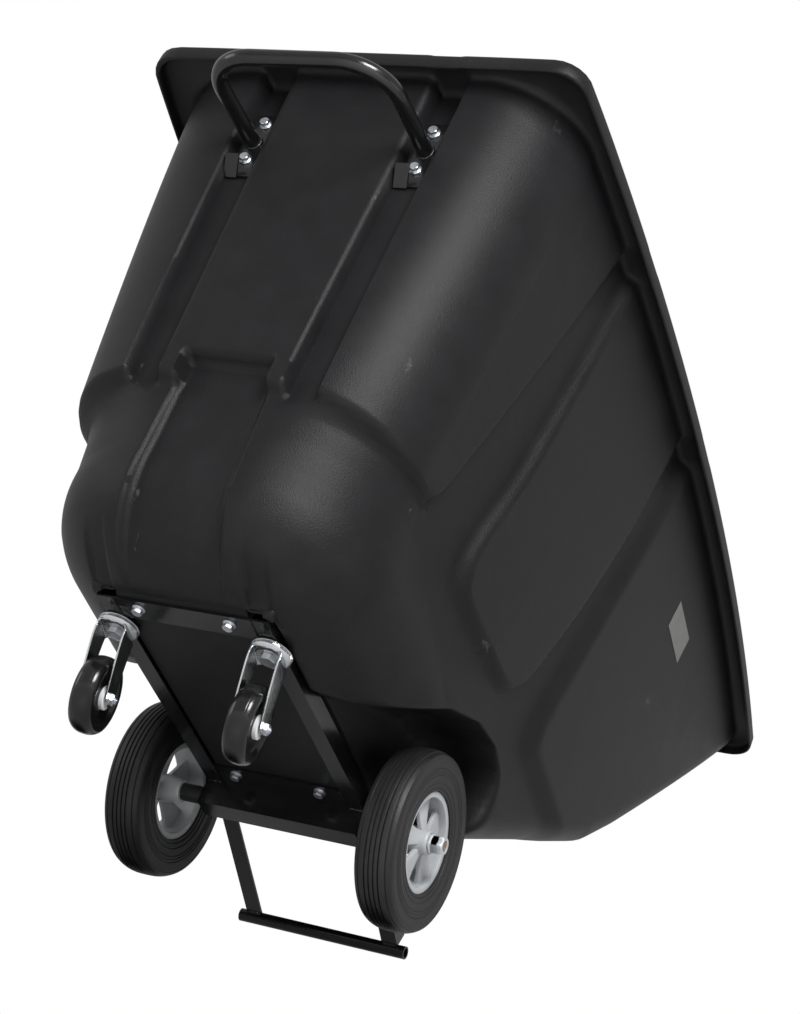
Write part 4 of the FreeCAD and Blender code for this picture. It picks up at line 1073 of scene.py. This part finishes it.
fork_zinc = material("fork_zinc", (0.58, 0.62, 0.66), 0.16, metallic=1.0, spread=0.1, grain=0.25,
                     grain_size=3.0, mottle=1.5, tint=(0.72, 0.73, 0.72))
ball_steel = material("ball_steel", (0.6, 0.6, 0.6), 0.1, metallic=1.0, spread=0.03)
caster_black = material("caster_black", (0.005, 0.005, 0.005), 0.2, coat=0.15, spread=0.05, grain=0.05,
                        grain_size=5.0, mottle=2.0, specular=0.35)
pale_plastic = material("pale_plastic", (0.55, 0.56, 0.56), 0.35, spread=0.05, grain=0.06)

CASTER_TURN = math.radians(12.0)
turned_x = np.array([math.cos(CASTER_TURN), math.sin(CASTER_TURN), 0.0])
turned_y = np.array([-math.sin(CASTER_TURN), math.cos(CASTER_TURN), 0.0])


def strip(path, width_way, half_width, thick, way_out):
    """A strip of rounded section swept along path.

    width_way and way_out are unit vectors at each point, half_width and thick its half sizes.
    """
    segments = 20
    turn = np.linspace(0, 2 * np.pi, segments, endpoint=False)
    square = rounded_square(turn, 8)
    across = (half_width[:, None] * square * np.cos(turn))[..., None] * width_way[:, None]
    over = (thick[:, None] * square * np.sin(turn))[..., None] * way_out[:, None]
    points = path[:, None] + across + over
    return capped_outward(points.reshape(-1, 3), len(path), segments)


def fork_leg(hub, crown_z, axle_z, trail, gap_half, side):
    """One leg: out of the crown, round a bend and down and back to the axle's eye."""
    s = np.linspace(0, 1, 40)
    bend = smooth(s / 0.28)
    out = 9.0 + (gap_half + 1.5 - 9.0) * bend ** 0.7
    down = np.where(s < 0.28, 8.5 * (1 - np.sqrt(np.clip(1 - (s / 0.28) ** 2, 0, 1))), 0.0)
    reach = np.clip((s - 0.28) / 0.72, 0.0, 1.0)
    z = crown_z - down - np.where(s >= 0.28, 8.5, 0.0) - reach * (crown_z - 8.5 - axle_z + 9.0)
    back = -trail * np.clip(reach * 1.06, 0.0, 1.0) ** 1.15
    half = np.interp(s, [0.0, 0.25, 0.5, 0.8, 0.93, 1.0], [23.0, 22.5, 19.0, 15.5, 14.0, 8.0])
    path = (hub + side * out[:, None] * turned_x + back[:, None] * turned_y)
    path[:, 2] = z
    tangent = np.gradient(path, axis=0)
    tangent /= np.linalg.norm(tangent, axis=1, keepdims=True)
    wide = np.repeat(turned_y[None], len(s), 0)
    way_out = np.cross(wide, tangent)
    way_out /= np.linalg.norm(way_out, axis=1, keepdims=True)
    wide = np.cross(tangent, way_out)
    return strip(path, wide, half, np.full(len(s), 1.5), way_out)


def caster_tread(radius, width):
    """Closed outline: tread r = R - 6 |u|^2.8 across the width, a shoulder and a dished side."""
    u = np.linspace(-0.93, 0.93, 40)
    crown = radius - 6.0 * np.abs(u) ** 2.8
    crown -= 0.35 * np.exp(-((np.abs(u) - 0.42) / 0.03) ** 2)
    half = width / 2
    side = [(radius - 8.0, half * 0.985), (radius - 11.0, half), (radius - 14.0, half * 0.97),
            (radius - 17.5, half * 0.66), (radius - 24.0, half * 0.58), (20.0, half * 0.62),
            (16.1, half * 0.7)]
    right = [(r, x) for r, x in side]
    left = [(r, -x) for r, x in side[::-1]]
    return [(r, x * half) for r, x in zip(crown, u)] + right + left


def notched_ring(hub, z, radius):
    """A cage ring whose outside steps in and out forty times, like the gaps between balls."""
    segments = 400
    turn = np.linspace(0, 2 * np.pi, segments, endpoint=False)
    wave = radius + 0.9 * np.tanh(4.0 * np.sin(40 * turn))
    radii = np.stack([np.full(segments, 20.0), wave, wave, np.full(segments, 20.0)])
    heights = np.array([z - 0.9, z - 0.9, z + 1.3, z + 1.3])
    points = np.stack([radii * np.cos(turn) + hub[0], radii * np.sin(turn) + hub[1],
                       np.repeat(heights[:, None], segments, 1)], -1).reshape(-1, 3)
    return points, outward(points, grid_faces(4, segments, True)).tolist()


for side in ("left", "right"):
    swivel, roller = f"{side}_swivel", f"{side}_roller"
    race_low, race_high = corners(f"caster_race_{side}")
    hub = np.array([(race_low[0] + race_high[0]) / 2, (race_low[1] + race_high[1]) / 2, 0.0])
    wheel_middle = middle(f"caster_wheel_{side}")
    radius = wheel_middle[2]
    trail = 38.0
    gap_half = 18.5
    top = race_high[2]
    # fixed upper race: a pressed cup with a rolled edge
    upper = [(6.2, top), (26.5, top), (28.0, top - 1.0), (28.2, top - 2.6), (27.4, top - 3.4),
             (24.5, top - 3.2), (22.5, top - 2.6), (6.2, top - 2.6)]
    race = joined(f"race_{side}_upper",
                  [ring_part(upper, 96, hub, (0, 0, 1)), notched_ring(hub, top - 4.6, 26.6)], 50.0)
    add_piece(race, fork_zinc, "chassis", "caster_zinc", f"caster_race_{side}")
    # fork: lower race ring, dished crown, two legs and the eyes' collars
    crown = corners(f"caster_fork_{side}")[1][2]
    lower = [(6.2, crown), (19.0, crown), (22.0, crown + 0.3), (25.6, crown + 2.0), (27.6, crown + 1.8),
             (28.4, crown + 0.6), (27.0, crown - 2.6), (24.0, crown - 4.4), (18.0, crown - 5.0),
             (13.0, crown - 3.2), (6.2, crown - 3.0)]
    parts = [ring_part(lower, 96, hub, (0, 0, 1))]
    for way in (1, -1):
        parts.append(fork_leg(hub, crown - 2.2, radius, trail, gap_half, way))
    fork = joined(f"fork_{side}_pressed", parts, 45.0)
    add_piece(fork, fork_zinc, swivel, "caster_zinc", f"caster_fork_{side}")
    keep_node(f"caster_balls_{side}", ball_steel)
    keep_node(f"caster_kingpin_{side}", zinc, bevel=0.6)
    keep_node(f"caster_kingpin_nut_{side}", zinc, bevel=0.6)
    # wheel and hub
    centre = hub + np.array([0.0, 0.0, radius]) - trail * turned_y
    tread = spun_ring(f"roller_{side}_tread", caster_tread(radius, 32.0), 128, centre, turned_x, 40.0)
    add_piece(tread, caster_black, roller, "caster_rubber", f"caster_wheel_{side}")
    hub_profile = [(8.2, -17.3), (14.6, -17.3), (15.8, -16.2), (16.0, -10.0), (16.0, 10.0), (15.8, 16.2),
                   (14.6, 17.3), (8.2, 17.3)]
    roller_hub = spun_ring(f"roller_{side}_hub", hub_profile, 64, centre, turned_x, 40.0)
    add_piece(roller_hub, pale_plastic, roller, "caster_hub_plastic", f"caster_hub_{side}")
    keep_node(f"caster_sleeve_{side}", bush_steel)
    # axle bolt and nut
    face = gap_half + 3.0
    bolt = [hex_solid(centre + turned_x * face, turned_x, 8.5, 6.0),
            threaded_stub(centre + turned_x * face, -turned_x, 5.0, 2 * face + 9.0, 1.5)]
    add_piece(joined(f"caster_{side}_bolt", bolt, 35.0), zinc, swivel, "zinc", f"caster_bolt_{side}")
    nut = [hex_solid(centre - turned_x * face, -turned_x, 8.5, 6.0, bore=5.0)]
    add_piece(joined(f"caster_{side}_nut", nut, 35.0), zinc, swivel, "zinc", f"caster_nut_{side}")


# ---------------------------------------------------------------- floor
# Pale ground under the wheels, clear when seen from below and open to light from below.

def one_sided_floor():
    """Pale and rough on its upper side and clear on its under side."""
    mat = bpy.data.materials.new("pale_floor")
    mat.use_nodes = True
    tree = mat.node_tree
    shader = tree.nodes["Principled BSDF"]
    shader.inputs["Base Color"].default_value = (0.80, 0.80, 0.80, 1.0)
    shader.inputs["Roughness"].default_value = 0.9
    out = tree.nodes["Material Output"]
    clear = tree.nodes.new("ShaderNodeBsdfTransparent")
    side = tree.nodes.new("ShaderNodeNewGeometry")
    mix = tree.nodes.new("ShaderNodeMixShader")
    tree.links.new(side.outputs["Backfacing"], mix.inputs["Fac"])
    tree.links.new(shader.outputs["BSDF"], mix.inputs[1])
    tree.links.new(clear.outputs["BSDF"], mix.inputs[2])
    tree.links.new(mix.outputs["Shader"], out.inputs["Surface"])
    return mat


half_floor = 9000.0
floor_corners = np.array([(-1, -1, 0), (1, -1, 0), (1, 1, 0), (-1, 1, 0)]) * half_floor - (0, 0, 0.2)
floor = mesh_object("floor", floor_corners, [(0, 1, 2, 3)])
wear(floor, one_sided_floor())
floor.visible_shadow = False
